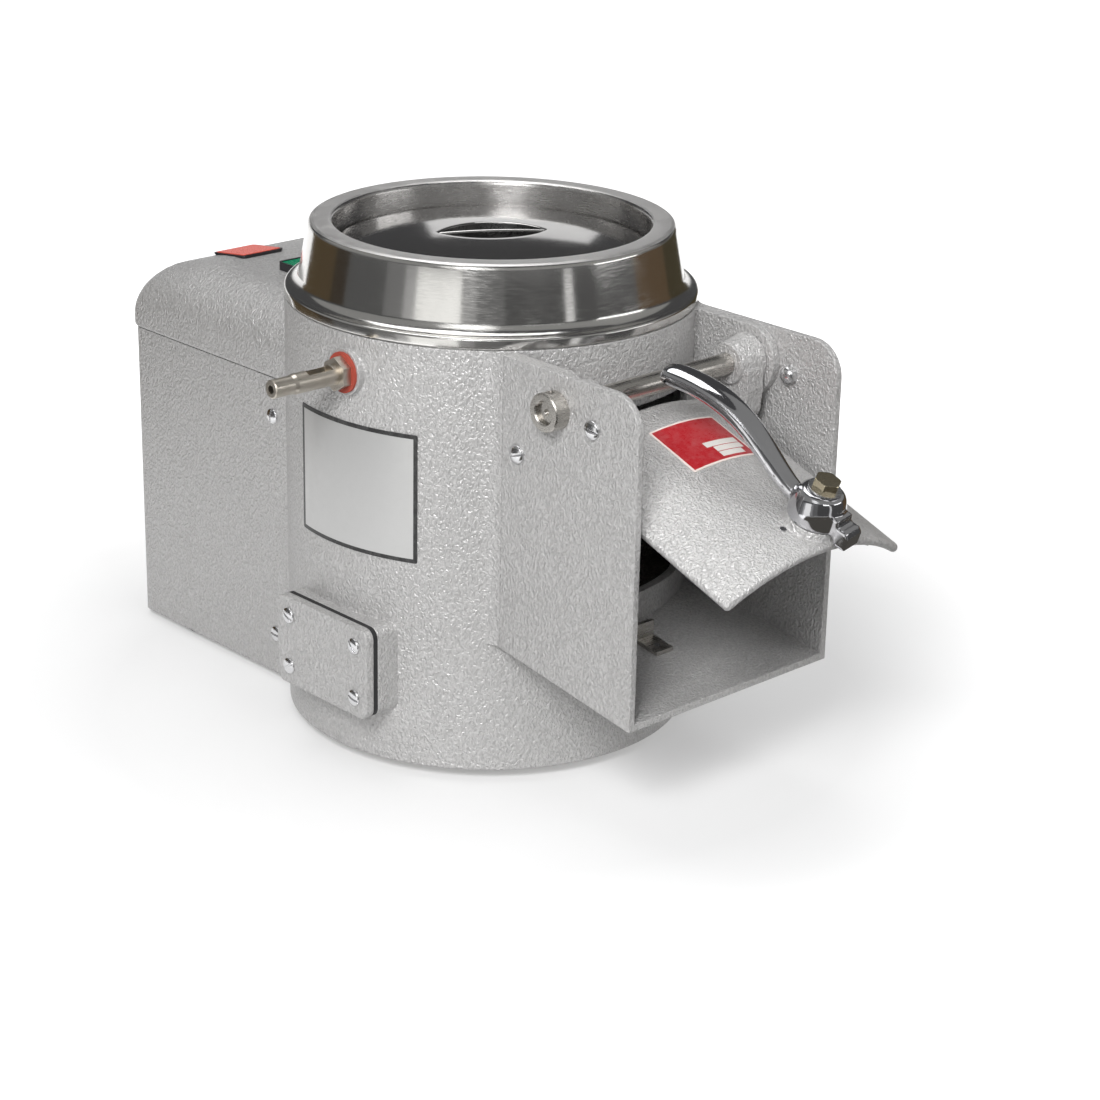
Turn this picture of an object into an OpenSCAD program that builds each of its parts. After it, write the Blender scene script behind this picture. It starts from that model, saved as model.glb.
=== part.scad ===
// Bench-top electric potato peeler: a cast drum with an abrasive plate that turns in it, a motor
// housing behind, a chute in front and an arched door that swings up on a shaft across the chute.
// The origin is where the drum's axis meets the bench. +Z is up and the chute faces -Y.

/* [Drum] */
// Outer radius of the cast drum
drum_r = 155; // [152:0.5:158]
// Thickness of the drum's wall
drum_wall = 7; // [5:0.5:8]
// Height of the drum's lower edge over the bench
drum_bottom = 9.3; // [8:0.1:9.8]
// Height of the drum's rim over the bench
drum_top = 332; // [332:0.5:340]
// Height of the underside of the drum's floor
floor_z = 52; // [50:0.5:54]
// Thickness of the drum's floor
floor_t = 8; // [6:0.5:9]
// Outer radius of the bearing housing in the middle of the floor
housing_r = 33; // [29:0.5:35]
// Height of the top of the bearing housing
housing_top = 106; // [104:0.5:108]
// Height of the bottom of the bearing housing
housing_bottom = 44; // [42:0.5:45]

/* [Mouth and door] */
// Half of the width of the drum's mouth
mouth_half_w = 76; // [70:0.5:78]
// Height of the lower edge of the mouth
mouth_bottom = 133; // [131:0.5:140]
// Height of the upper edge of the mouth
mouth_top = 280; // [270:0.5:282]
// Corner radius of the mouth
mouth_corner_r = 16; // [8:1:30]
// Half of the door's width
door_half_w = 88; // [84:0.5:88.5]
// Height of the door's lower edge when it is shut
door_bottom = 125; // [123:0.5:126]
// Height of the door's upper edge when it is shut
door_top = 301.5; // [296:0.5:303]
// Thickness of the door's casting
door_wall = 7; // [6:0.5:8]
// Angle at which the door stands open
door_open = 70.5; // [60:0.5:75]
// Thickness of the rubber seal on the door's inner face
liner_t = 4.2; // [2.5:0.1:5]
// Gap between the seal and the edge of the mouth
liner_gap = 2; // [1:0.5:4]
// Length of the rating plate on the door, across the door
rating_w = 64; // [50:1:70]
// Height of the rating plate, up the door
rating_h = 49; // [40:1:54]

/* [Hinge] */
// Distance of the hinge shaft in front of the drum's axis
hinge_y = 180.3; // [179:0.1:182]
// Height of the hinge shaft
hinge_z = 305.2; // [304:0.1:306]
// Radius of the hinge shaft
hinge_shaft_r = 8; // [6:0.5:9]
// Radius of the door's hinge hub at its outer end
hub_r = 19.6; // [17:0.2:20]
// Radius of the door's hinge hub at its inner end
hub_inner_r = 15; // [12:0.5:16]
// Distance of the hub's inner end from the middle of the door
hub_inner_x = 67.4; // [62:0.2:72]
// Radius of the two collars that hold the hinge shaft
shaft_collar_r = 14; // [12:0.5:16]
// Width of each shaft collar
shaft_collar_w = 12.2; // [9:0.2:14]

/* [Chute] */
// Distance of the outer face of each side plate from the middle
guard_x = 101.7; // [99:0.1:104]
// Thickness of the side plates and the chute floor
guard_t = 5; // [4:0.5:6]
// Distance of the chute's front edge from the drum's axis
guard_front = 261; // [256:1:275]
// Height of the side plates' top edge
guard_top = 331.4; // [331.4:0.1:331.9]
// Radius of the side plates' upper front corner
guard_corner_r = 25; // [15:1:32]
// Height of the underside of the chute at its front edge
chute_front_z = 89.9; // [84:0.1:90.5]
// Slope of the chute floor
chute_slope = 8.8; // [7:0.1:8.9]
// Thickness of each hinge ear of the drum casting
ear_t = 7; // [5:0.5:8]
// Radius of each ear's round end
ear_r = 26; // [22:0.5:26]
// Radius of the hollow fillet between drum and side plate
flank_fillet = 20; // [12:1:26]
// Front face of the web below each ear
ear_web_front = 150; // [148:1:156]

/* [Latch] */
// Sideways place of the latch bolt on the door
latch_x = 8; // [6:0.5:10]
// Distance of the latch bolt below the hinge shaft, along the shut door
latch_drop = 156; // [154:0.5:157]
// Turn of the latch lever from straight up, towards -X
latch_turn = 10; // [8:0.5:14]
// Radius of the cast pad under the latch
latch_pad_r = 20.5; // [18:0.5:22]
// Height of the latch pad over the door's face
latch_pad_h = 5; // [3:0.5:6]
// Radius of the latch bolt's shank
latch_bolt_r = 5; // [4:0.5:6]
// Width across flats of the latch bolt's head
latch_bolt_af = 17; // [15:0.5:19]
// Height of the latch hub's top over the door's face
latch_hub_top = 28.7; // [26:0.1:30]
// Width of the latch's tail
latch_tail_w = 19; // [16:0.5:20]
// Reach of the latch's tail from the bolt
latch_tail_l = 33; // [32:0.5:34]
// Height of the tail's top over the door's face
latch_tail_top = 14; // [12:0.5:15]

/* [Hopper collar and lid] */
// Radius of the collar's flange
flange_r = 155; // [153:0.5:158]
// Height of the collar's top rim
rim_top = 389; // [386:0.5:394]
// Outer radius of the collar's wall at its foot
collar_foot_r = 144; // [141:0.5:145]
// Outer radius of the collar's wall at its top
collar_top_r = 137.4; // [134:0.2:139]
// Radius of the hopper's opening
hopper_r = 118.3; // [114:0.1:122]
// Width of the ledge that carries the lid
ledge_w = 10.3; // [7:0.1:14]
// Height of the ledge that carries the lid
ledge_z = 366; // [362:0.5:368]
// Thickness of the collar's sheet steel
collar_sheet = 1.8; // [1.2:0.1:2.5]
// Gap round the lid
lid_gap = 1.8; // [0.8:0.1:3]
// Height of the lid's crown over its rim
lid_crown = 10.5; // [7:0.5:13]
// Thickness of the lid's sheet steel
lid_sheet = 1.5; // [1:0.1:2.5]
// Half of the length of the lens-shaped grip recess in the lid
grip_half_l = 40.5; // [34:0.5:48]
// Half of the width of the grip recess
grip_half_w = 23.5; // [18:0.5:30]
// Depth of the grip recess
grip_depth = 12; // [9:0.5:13]
// Thickness of the web across the grip recess
grip_web_t = 3; // [2:0.5:6]
// Direction of the grip web, from +X
grip_web_angle = -32; // [-60:1:60]

/* [Peeler plate and spindle] */
// Radius of the peeler plate
plate_r = 143; // [140:0.5:144]
// Height of the underside of the peeler plate
plate_z = 113; // [112:0.5:114]
// Thickness of the cast plate
plate_t = 6; // [5:0.5:8]
// Thickness of the bonded grit layer
grit_t = 3; // [2:0.5:4]
// Number of waves on the plate
wave_count = 3; // [2:1:6]
// Height of each wave over the grit layer
wave_h = 7; // [4:0.5:8]
// Radius of each wave's round back
wave_back_r = 60; // [40:1:90]
// Number of sweeper vanes under the plate
vane_count = 4; // [2:1:8]
// Thickness of each vane
vane_t = 6; // [4:0.5:8]
// Gap between vanes and drum floor
vane_gap = 6; // [4:0.5:10]
// Radius of the spindle
spindle_r = 10; // [8:0.5:11]
// Width across flats of the spindle's driving end
drive_af = 16; // [12:0.5:16]
// Outer radius of the spindle bearings
bearing_r = 23.5; // [20:0.5:25]
// Width of each spindle bearing
bearing_w = 14; // [10:0.5:15]
// Width of the shaft seal
seal_w = 7; // [4:0.5:8]

/* [Belt drive and motor] */
// Pitch radius of the driven pulley
driven_pulley_r = 70; // [60:1:80]
// Pitch radius of the motor pulley
motor_pulley_r = 22.5; // [18:0.5:26]
// Height of the pulleys' undersides
pulley_z = 18; // [16:0.5:18]
// Width of the pulleys
pulley_w = 18; // [14:0.5:18]
// Width of the belt at its outer side
belt_w = 10; // [8:0.5:12]
// Thickness of the belt
belt_t = 6; // [4:0.5:8]
// Distance from the drum's axis to the motor's axis
motor_y = 237; // [232:0.5:240]
// Outer radius of the motor's body
motor_r = 63; // [55:0.5:66]
// Height of the top of the motor
motor_top = 235; // [215:1:242]
// Height of the top face of the motor bracket
bracket_z = 55; // [52:0.5:60]
// Thickness of the motor bracket
bracket_t = 5; // [4:0.5:6]
// Radius of the motor's shaft
motor_shaft_r = 8; // [6:0.5:9]
// Number of cooling ribs round the motor
motor_rib_count = 24; // [12:1:36]

/* [Motor housing] */
// Half of the width of the lower casing
casing_half_w = 106.5; // [104:0.5:108]
// Distance of the casing's rear face from the drum's axis
casing_rear = 319; // [316:0.5:322]
// Radius of the casing's upright rear corners
casing_corner_r = 11; // [8:0.5:16]
// Height of the casing's lower edge
casing_bottom = 6; // [5:0.5:8]
// Height of the seam between casing and cover
seam_z = 253.6; // [248:0.2:258]
// Thickness of the casing's wall
casing_wall = 3.5; // [2.5:0.5:4]
// Height of the cover's flat top
cover_top = 312.5; // [308:0.5:316]
// Radius of the cover's side shoulders
cover_shoulder_r = 40; // [25:1:48]
// How far the cover stands out over the casing at the sides
cover_side_lip = 1.5; // [1:0.5:3]
// How far the cover stands out over the casing at the rear
cover_rear_lip = 4.2; // [3:0.2:6]
// Thickness of the cover's wall
cover_wall = 4; // [3:0.5:4]
// Width and length of the start switch's raised bezel
start_size = 36; // [30:1:40]
// Height of the start switch's bezel over the cover
start_bezel_h = 6.5; // [4:0.5:9]
// Distance of the start switch behind the drum's axis
start_y = 190; // [184:1:196]
// Width and length of the stop button's frame
stop_size = 42; // [36:1:44]
// Distance of the stop button behind the drum's axis
stop_y = 270; // [266:0.5:272]
// Sideways place of both switches
switch_x = -24; // [-30:1:-10]
// Travel of both buttons
button_travel = 3; // [2:0.5:4]

/* [Water and waste] */
// Height of the water inlet
inlet_z = 304; // [300:0.5:304]
// Distance of the water inlet in front of the drum's axis
inlet_y = 18; // [10:1:26]
// Radius of the water inlet's tube
inlet_r = 7.5; // [6.5:0.1:7.8]
// Radius of the hose tail at the inlet's tip
inlet_tip_r = 6.75; // [5.5:0.05:7]
// Radius of the inlet's bore
inlet_bore_r = 3.2; // [2.5:0.1:4.5]
// Distance of the inlet's tip from the drum's axis
inlet_tip_x = 222; // [214:1:230]
// Width across flats of the inlet nuts
inlet_nut_af = 22; // [20:0.5:24]
// Width of each waste boss, along Y
boss_w = 105.3; // [98:0.5:110]
// Height of each waste boss
boss_h = 70.2; // [64:0.2:74]
// Distance of the waste bosses' middle in front of the drum's axis
boss_y = 8.4; // [4:0.2:12]
// Height of the waste bosses' middle
boss_z = 85.1; // [85:0.1:88]
// Distance of each boss's face from the drum's axis
boss_x = 161.8; // [160:0.2:165]
// Corner radius of the bosses and their plates
boss_corner_r = 8; // [4:0.5:14]
// Thickness of the gaskets
gasket_t = 4; // [2:0.5:5]
// Thickness of the blanking plate and the outlet's flange
flange_t = 6.5; // [5:0.5:8]
// Spacing of the plate screws along Y
boss_screw_w = 77; // [72:1:84]
// Spacing of the plate screws in height
boss_screw_h = 41; // [38:1:50]
// Radius of the waste port
port_r = 22; // [16:0.5:23]
// Outer radius of the waste spigot
spigot_r = 25; // [22:0.5:26]
// Distance of the waste spigot's tip from the drum's axis
spigot_tip_x = 220; // [205:1:235]

/* [Base] */
// Height of the base plate's underside
base_z = 10; // [9.9:0.1:10.5]
// Thickness of the base plate
base_t = 2; // [1.5:0.1:2.5]
// Radius of the rubber feet
foot_r = 16; // [13:0.5:18]
// Distance of the front feet from the middle, both ways
front_foot = 80; // [70:1:84]
// Sideways distance of the rear feet from the middle
rear_foot_x = 86; // [78:1:86]
// Distance of the rear feet behind the drum's axis
rear_foot_y = 258; // [240:1:270]

/* [Hidden] */
$fn = 96;

// Fits, each a radial or one-sided gap
running_fit = 0.05;
thread_fit = 0.02;
seat_gap = 0.2;
side_gap = 0.3;
slide_gap = 0.5;
casing_gap = 1.2;

// Drum
drum_inner_r = drum_r - drum_wall;
floor_top = floor_z + floor_t;
wall_mid_r = drum_r - drum_wall / 2;

// Door, as it stands when shut
door_inner_r = drum_r + slide_gap;
door_outer_r = door_inner_r + door_wall;
door_edge_r = door_wall / 2;
door_half_angle = asin((door_half_w - door_edge_r) / (door_inner_r + door_edge_r));

// Chute
guard_inner_x = guard_x - guard_t;
ear_inner_x = guard_inner_x - ear_t;
ear_top = hinge_z + ear_r;
fillet_x = guard_x + flank_fillet;
fillet_y = sqrt(pow(drum_r + flank_fillet, 2) - pow(fillet_x, 2));
hub_outer_x = ear_inner_x - side_gap;
guard_screw_y = 142.2;
guard_screw_z = 263.1;
side_screw_y = 217;
side_screw_z = 300.1;
small_screw_r = 2.5;
small_head_r = 4.6;
small_head_h = 2.8;
plate_screw_r = 3;
plate_head_r = 6.2;
plate_head_h = 3;
guard_screw_r = 4;
guard_head_r = 7;
guard_head_h = 4;

// Latch
latch_z = hinge_z - latch_drop;
lever_bottom = latch_pad_h + side_gap;
latch_washer_t = 1.5;
latch_head_h = 7;
latch_hub_r = 20;
latch_hub_top_r = 13;
tail_nose_h = side_gap * 2;
catch_right = latch_x - 6;
catch_w = 17;
catch_lip_t = 3.5;
catch_foot_l = 24;
catch_lip_y = door_outer_r + latch_tail_top + slide_gap;
catch_top = door_bottom - 3;

// Collar and lid
collar_seat_r = drum_r - 2.5;
shadow_gap = 1;
flange_z = drum_top + shadow_gap;
flange_top = flange_z + 7.7;
collar_fillet = 9.5;
lid_r = hopper_r - lid_gap;
lid_rim_t = 3.5;
lid_top = ledge_z + lid_rim_t + lid_crown;
grip_floor = lid_top - grip_depth;

// Spindle, pulleys and motor
upper_bearing_z = housing_top - seal_w - bearing_w - 1;
lower_bearing_z = housing_bottom + 2;
bearing_shoulder_r = bearing_r - 3.5;
housing_flange_r = 50;
housing_flange_t = 5;
shoulder_z = housing_top + 1;
shoulder_t = 4;
drive_top = plate_z + plate_t + grit_t - 3;
circlip_t = 1.2;
circlip_depth = 0.7;
circlip_z = lower_bearing_z - circlip_t - 0.1;
spindle_bottom = pulley_z - 4;
belt_z = pulley_z + (pulley_w - belt_w) / 2;
belt_gap = 0.3;
hub_wall = 6;
hub_h = shoulder_z + shoulder_t;
labyrinth_r = housing_r + 4;
vane_bottom = floor_top + vane_gap;
vane_tip_r = plate_r - 6;
rotor_gap = 1;
motor_wall = 5;
motor_end_t = 10;
motor_bolt_r = 50;

// Motor housing
cover_half_w = casing_half_w + cover_side_lip;
cover_rear = casing_rear + cover_rear_lip;
cover_lip_r = 3;
cover_rear_lip_r = 8;
cover_plan_r = 15;
cover_flat_end = 252;
cover_slope = 16;
cover_back_r = 140;
cover_end_r = 45;
casing_top = seam_z - side_gap;
post_x = casing_half_w - casing_wall - 8;
post_y = casing_rear - casing_wall - 8;
post_r = 9;
casing_screw_y = 132.4;
casing_screw_zs = [40, 222.4];
casing_lug_r = 9;
cover_screw_x = 60;
cover_tab_w = 20;
cover_tab_t = 2.6;
cover_screw_z = seam_z + 10;
stop_tilt = -7.5;
stop_z = cover_top - 1.2;
button_gap = 0.3;
switch_flange = 0.8;
switch_rim = 1.8;
switch_corner_r = 4;
gland_x = 60;
gland_z = 40;
gland_r = 9;
gland_bore_r = 4.5;

// Base and feet
base_top = base_z + base_t;
tunnel_half_w = 64;
tunnel_top = housing_bottom + 1;
skirt_lug_angles = [-30, -90, -150];
skirt_lug_r = drum_inner_r - 8;
foot_places = [
    [front_foot, -front_foot], [-front_foot, -front_foot],
    [rear_foot_x, rear_foot_y], [-rear_foot_x, rear_foot_y]
];

// Slope of the chute floor's underside, as a height over the distance in front of the drum's axis
function chute_under(y) = chute_front_z + (guard_front - y) * tan(chute_slope);
function chute_floor(y) = chute_under(y) + guard_t / cos(chute_slope);

// Points of an arc round a centre, from one angle to another
function arc(centre, r, from, to, steps = 10) =
    [for (i = [0 : steps]) centre + r * [cos(from + (to - from) * i / steps),
                                         sin(from + (to - from) * i / steps)]];

// Point of a cubic curve with four control points
function curve(p, t) =
    pow(1 - t, 3) * p[0] + 3 * pow(1 - t, 2) * t * p[1] + 3 * (1 - t) * t * t * p[2] + t * t * t * p[3];

// Solid through rings of points that all have the same number of points
module loft(rings) {
    sides = len(rings[0]);
    last = (len(rings) - 1) * sides;
    walls = [for (i = [0 : len(rings) - 2], j = [0 : sides - 1])
        let (k = (j + 1) % sides, a = i * sides, b = a + sides)
        [a + j, a + k, b + k, b + j]];
    ends = [[for (j = [sides - 1 : -1 : 0]) j], [for (j = [0 : sides - 1]) last + j]];
    polyhedron([for (r = rings) each r], concat(walls, ends), convexity = 6);
}

// Turns an upright profile drawn in Y and Z into a slab along X
module along_x(width) {
    translate([-width / 2, 0, 0])
        rotate([90, 0, 90])
            linear_extrude(height = width) children();
}

// Lays a round piece, built upwards, along +X or -X
module towards_x(side) {
    rotate([0, 90 * side, 0]) children();
}

// Round bar or bore along +X from a point
module rod(from, r, l) {
    translate(from) towards_x(1) cylinder(r = r, h = l);
}

module both_sides() {
    children();
    mirror([1, 0, 0]) children();
}

module rounded_rect(w, h, r) {
    square([w - 2 * r, h], center = true);
    square([w, h - 2 * r], center = true);
    for (x = [-1, 1], y = [-1, 1])
        translate([x * (w / 2 - r), y * (h / 2 - r)]) circle(r);
}

module ring(outer, inner, h) {
    difference() {
        cylinder(r = outer, h = h);
        translate([0, 0, -1]) cylinder(r = inner, h = h + 2);
    }
}

module hex(af, h) {
    cylinder(r = af / 2 / cos(30), h = h, $fn = 6);
}

// Pan-head screw with its seat at z = 0, head upwards and shank downwards
module screw(head_r, head_h, shank_r, length, slot_w = 1.2) {
    difference() {
        union() {
            intersection() {
                cylinder(r = head_r, h = head_h);
                translate([0, 0, head_h - head_r * 1.6]) sphere(r = head_r * 1.6);
            }
            translate([0, 0, -length]) cylinder(r = shank_r, h = length + 0.5);
        }
        translate([-head_r - 1, -slot_w / 2, head_h * 0.5]) cube([2 * head_r + 2, slot_w, head_h]);
    }
}

// Places children, built shut, where the door stands open
module door_space() {
    translate([0, -hinge_y, hinge_z])
        rotate([-door_open, 0, 0])
            translate([0, hinge_y, -hinge_z]) children();
}

// The latch's own space on the shut door: +Z stands off the door and +X points up the handle
module latch_space(turn = 0) {
    translate([latch_x, -door_outer_r, latch_z])
        rotate([90, 0, 0])
            rotate([0, 0, 90 + turn]) children();
}

// Section bent round the drum's axis and centred on an angle from +X
module wrapped(inner_r, thickness, z, h, middle, half_angle) {
    rotate([0, 0, middle - half_angle])
        rotate_extrude(angle = 2 * half_angle)
            translate([inner_r, z]) square([thickness, h]);
}

// ---------------------------------------------------------------- drum casting

module flank_section() {
    difference() {
        polygon([
            [ear_inner_x, -fillet_y],
            [fillet_x, -fillet_y],
            [fillet_x, -fillet_y] * (wall_mid_r / (drum_r + flank_fillet)),
            [ear_inner_x, -sqrt(pow(wall_mid_r, 2) - pow(ear_inner_x, 2))]
        ]);
        translate([fillet_x, -fillet_y]) circle(flank_fillet);
    }
}

module ear_profile() {
    slant = ear_r * cos(45);
    web_z = hinge_z - 2 * slant - (hinge_y - ear_web_front);
    translate([-hinge_y, hinge_z]) circle(ear_r);
    polygon([
        [-fillet_y, ear_top],
        [-hinge_y, ear_top],
        [-hinge_y - slant, hinge_z - slant],
        [-ear_web_front, web_z],
        [-ear_web_front, chute_floor(ear_web_front) + seat_gap],
        [-fillet_y, chute_floor(fillet_y) + seat_gap]
    ]);
}

module hinge_side() {
    under = chute_under(fillet_y);
    translate([0, 0, under]) linear_extrude(height = guard_top - under) flank_section();
    translate([ear_inner_x, 0, 0]) rotate([90, 0, 90]) linear_extrude(height = ear_t) ear_profile();
}

module waste_boss() {
    translate([0, -boss_y, boss_z])
        towards_x(1)
            linear_extrude(height = boss_x) rounded_rect(boss_h, boss_w, boss_corner_r);
}

module boss_screw_places() {
    for (y = [-1, 1], z = [-1, 1])
        translate([0, -boss_y + y * boss_screw_w / 2, boss_z + z * boss_screw_h / 2]) children();
}

module housing_screw_places() {
    for (a = [0 : 90 : 270])
        rotate([0, 0, a]) translate([(housing_r + housing_flange_r) / 2, 0, floor_z]) children();
}

module drum_floor() {
    fillet = 10;
    rib_t = 6;
    translate([0, 0, floor_z]) cylinder(r = drum_inner_r + 1, h = floor_t);
    // hollow fillet all round the foot of the wall
    rotate_extrude()
        translate([drum_inner_r - fillet, floor_top - 0.5])
            difference() {
                square([fillet + 1, fillet + 0.5]);
                translate([0, fillet + 0.5]) circle(fillet);
            }
    // stiffening ribs under the floor
    for (i = [0 : 5])
        rotate([0, 0, 60 * i + 30])
            translate([housing_flange_r + 4, -rib_t / 2, floor_z - 8])
                cube([drum_inner_r - housing_flange_r - 3, rib_t, 9]);
}

module skirt_lugs() {
    for (a = skirt_lug_angles)
        rotate([0, 0, a])
            translate([skirt_lug_r, 0, base_top]) {
                cylinder(r = 7, h = 20);
                translate([0, -7, 0]) cube([drum_inner_r - skirt_lug_r + 1, 14, 20]);
            }
}

module drum() color("silver") {
    difference() {
        union() {
            difference() {
                union() {
                    translate([0, 0, drum_bottom]) cylinder(r = drum_r, h = drum_top - drum_bottom);
                    both_sides() hinge_side();
                    both_sides() waste_boss();
                    // round boss for the water inlet
                    translate([0, -inlet_y, inlet_z]) towards_x(-1) cylinder(r = 17, h = drum_r + 2);
                    // lugs that the motor casing is screwed to
                    both_sides()
                        for (z = casing_screw_zs)
                            translate([70, casing_screw_y, z])
                                towards_x(1)
                                    cylinder(r = casing_lug_r, h = casing_half_w - casing_wall - 70);
                }
                translate([0, 0, drum_bottom - 1]) cylinder(r = drum_inner_r, h = drum_top);
            }
            drum_floor();
            skirt_lugs();
            // flat pad inside for the inlet's lock nut
            intersection() {
                translate([0, -inlet_y, inlet_z])
                    towards_x(-1)
                        translate([0, 0, drum_inner_r - 4]) cylinder(r = 15, h = 5);
                cylinder(r = drum_inner_r + 1, h = drum_top - 1);
            }
        }
        // seat of the bearing housing
        translate([0, 0, floor_z - 10]) cylinder(r = housing_r + seat_gap, h = floor_t + 30);
        housing_screw_places() cylinder(r = 3 + thread_fit, h = 2 * (floor_t - 1.5), center = true);
        // mouth
        translate([0, -drum_inner_r + 45, (mouth_top + mouth_bottom) / 2])
            rotate([90, 0, 0])
                linear_extrude(height = 60)
                    rounded_rect(2 * mouth_half_w, mouth_top - mouth_bottom, mouth_corner_r);
        // hinge shaft and chute screws
        rod([-guard_x - 1, -hinge_y, hinge_z], hinge_shaft_r + thread_fit, 2 * guard_x + 2);
        both_sides()
            rod([ear_inner_x + 1.5, -guard_screw_y, guard_screw_z], guard_screw_r + thread_fit, 20);
        // waste ports and the plate screws
        rod([-boss_x - 1, -boss_y, boss_z], port_r, 2 * boss_x + 2);
        both_sides()
            boss_screw_places()
                rod([boss_x - 12, 0, 0], plate_screw_r + thread_fit, 20);
        // water inlet
        translate([0, -inlet_y, inlet_z]) towards_x(-1) cylinder(r = inlet_r + seat_gap, h = drum_r + 10);
        // casing screws
        both_sides()
            for (z = casing_screw_zs)
                rod([casing_half_w - casing_wall - 12, casing_screw_y, z], plate_screw_r + thread_fit, 20);
        // tunnel for the belt and the base plate
        translate([-tunnel_half_w, drum_inner_r * 0.8, drum_bottom - 1])
            cube([2 * tunnel_half_w, drum_r, tunnel_top - drum_bottom + 1]);
        // base plate screws
        for (a = skirt_lug_angles)
            rotate([0, 0, a])
                translate([skirt_lug_r, 0, base_top - 1]) cylinder(r = small_screw_r + thread_fit, h = 15);
    }
}

// ---------------------------------------------------------------- chute

module side_plate_profile(top, front) {
    difference() {
        polygon([
            [-fillet_y - seat_gap, top], [-front, top],
            [-front, chute_under(front)], [-fillet_y - seat_gap, chute_under(fillet_y + seat_gap)]
        ]);
        translate([-front, top - guard_corner_r])
            difference() {
                translate([-1, 0]) square([guard_corner_r + 1, guard_corner_r + 1]);
                translate([guard_corner_r, 0]) circle(guard_corner_r);
            }
    }
}

module chute_guard() color("silver") {
    difference() {
        along_x(2 * guard_x) side_plate_profile(guard_top, guard_front);
        // the channel between the plates, above the sloping floor
        along_x(2 * guard_inner_x)
            polygon([
                [0, guard_top + 1], [-guard_front - 1, guard_top + 1],
                [-guard_front - 1, chute_floor(guard_front + 1)], [0, chute_floor(0)]
            ]);
        cylinder(r = drum_r + seat_gap, h = drum_top + 20);
        rod([-guard_x - 1, -hinge_y, hinge_z], hinge_shaft_r + seat_gap, 2 * guard_x + 2);
        both_sides() {
            rod([guard_inner_x - 1, -guard_screw_y, guard_screw_z], guard_screw_r + seat_gap, guard_t + 2);
            rod([guard_inner_x - 1, -side_screw_y, side_screw_z], guard_screw_r + seat_gap, guard_t + 2);
        }
        catch_screw_places() translate([0, 0, -20]) cylinder(r = small_screw_r + seat_gap, h = 30);
    }
}

module guard_screws() color("gainsboro") {
    both_sides()
        translate([guard_x, -guard_screw_y, guard_screw_z])
            towards_x(1)
                rotate([0, 0, 35])
                    screw(guard_head_r, guard_head_h, guard_screw_r, guard_t + ear_t - 2, 2);
}

// Screws with a domed nut on the inside of the side plates
module chute_side_screws() color("gainsboro") {
    both_sides() {
        translate([guard_x, -side_screw_y, side_screw_z])
            towards_x(1)
                rotate([0, 0, 20]) screw(guard_head_r, guard_head_h, guard_screw_r, guard_t + 3, 2);
        translate([guard_inner_x, -side_screw_y, side_screw_z])
            towards_x(-1)
                difference() {
                    intersection() {
                        hex(12.5, 8);
                        sphere(r = 8);
                    }
                    translate([0, 0, -1]) cylinder(r = guard_screw_r + thread_fit, h = 5);
                }
    }
}

module catch_screw_places() {
    translate([catch_right - catch_w / 2, -catch_lip_y - catch_lip_t - 12, chute_floor(catch_lip_y + 15.5)])
        rotate([chute_slope, 0, 0]) children();
}

// Angle bracket on the chute floor that the latch's tail turns in behind
module door_catch() color("dimgray") {
    difference() {
        translate([catch_right - catch_w, 0, 0])
            rotate([90, 0, 90])
                linear_extrude(height = catch_w)
                    polygon([
                        [-catch_lip_y, chute_floor(catch_lip_y)],
                        [-catch_lip_y, catch_top],
                        [-catch_lip_y - catch_lip_t, catch_top],
                        [-catch_lip_y - catch_lip_t, chute_floor(catch_lip_y + catch_lip_t) + 3],
                        [-catch_lip_y - catch_foot_l, chute_floor(catch_lip_y + catch_foot_l) + 3],
                        [-catch_lip_y - catch_foot_l, chute_floor(catch_lip_y + catch_foot_l)]
                    ]);
        catch_screw_places() translate([0, 0, -20]) cylinder(r = small_screw_r + thread_fit, h = 30);
    }
}

module catch_screws() color("gainsboro") {
    catch_screw_places()
        translate([0, 0, -guard_t])
            rotate([180, 0, 0]) screw(small_head_r, small_head_h, small_screw_r, guard_t + 3);
}

// ---------------------------------------------------------------- hinge

module hinge_shaft() color("darkgray") {
    half = guard_x + shaft_collar_w - 3.5;
    difference() {
        rod([-half, -hinge_y, hinge_z], hinge_shaft_r, 2 * half);
        // shallow centre left by the lathe in both ends
        both_sides()
            translate([half + 0.1, -hinge_y, hinge_z])
                towards_x(-1) cylinder(r1 = 2.5, r2 = 0.5, h = 3);
    }
}

module shaft_collars() color("darkgray") {
    bevel = 1;
    both_sides()
        translate([guard_x, -hinge_y, hinge_z])
            towards_x(1)
                difference() {
                    rotate_extrude()
                        polygon([
                            [hinge_shaft_r + thread_fit, 0], [shaft_collar_r, 0],
                            [shaft_collar_r, shaft_collar_w - bevel],
                            [shaft_collar_r - bevel, shaft_collar_w],
                            [hinge_shaft_r + thread_fit + bevel, shaft_collar_w],
                            [hinge_shaft_r + thread_fit, shaft_collar_w - bevel]
                        ]);
                    translate([0, 0, shaft_collar_w / 2])
                        rotate([0, -90, 0]) cylinder(r = 3 + thread_fit, h = shaft_collar_r + 1);
                }
}

module collar_grub_screws() color("gray") {
    length = shaft_collar_r - hinge_shaft_r - 1;
    both_sides()
        translate([guard_x + shaft_collar_w / 2, -hinge_y, hinge_z + hinge_shaft_r + 0.1])
            difference() {
                cylinder(r = 3, h = length);
                translate([0, 0, length - 2]) hex(3, 3);
            }
}

// ---------------------------------------------------------------- waste plates

module boss_plate(x, thickness) {
    difference() {
        translate([x, -boss_y, boss_z])
            towards_x(1) linear_extrude(height = thickness) rounded_rect(boss_h, boss_w, boss_corner_r);
        boss_screw_places()
            rod([x - 1, 0, 0], plate_screw_r + seat_gap, thickness + 2);
        children();
    }
}

module port_hole(r) {
    rod([0, -boss_y, boss_z], r, spigot_tip_x + 1);
}

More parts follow.
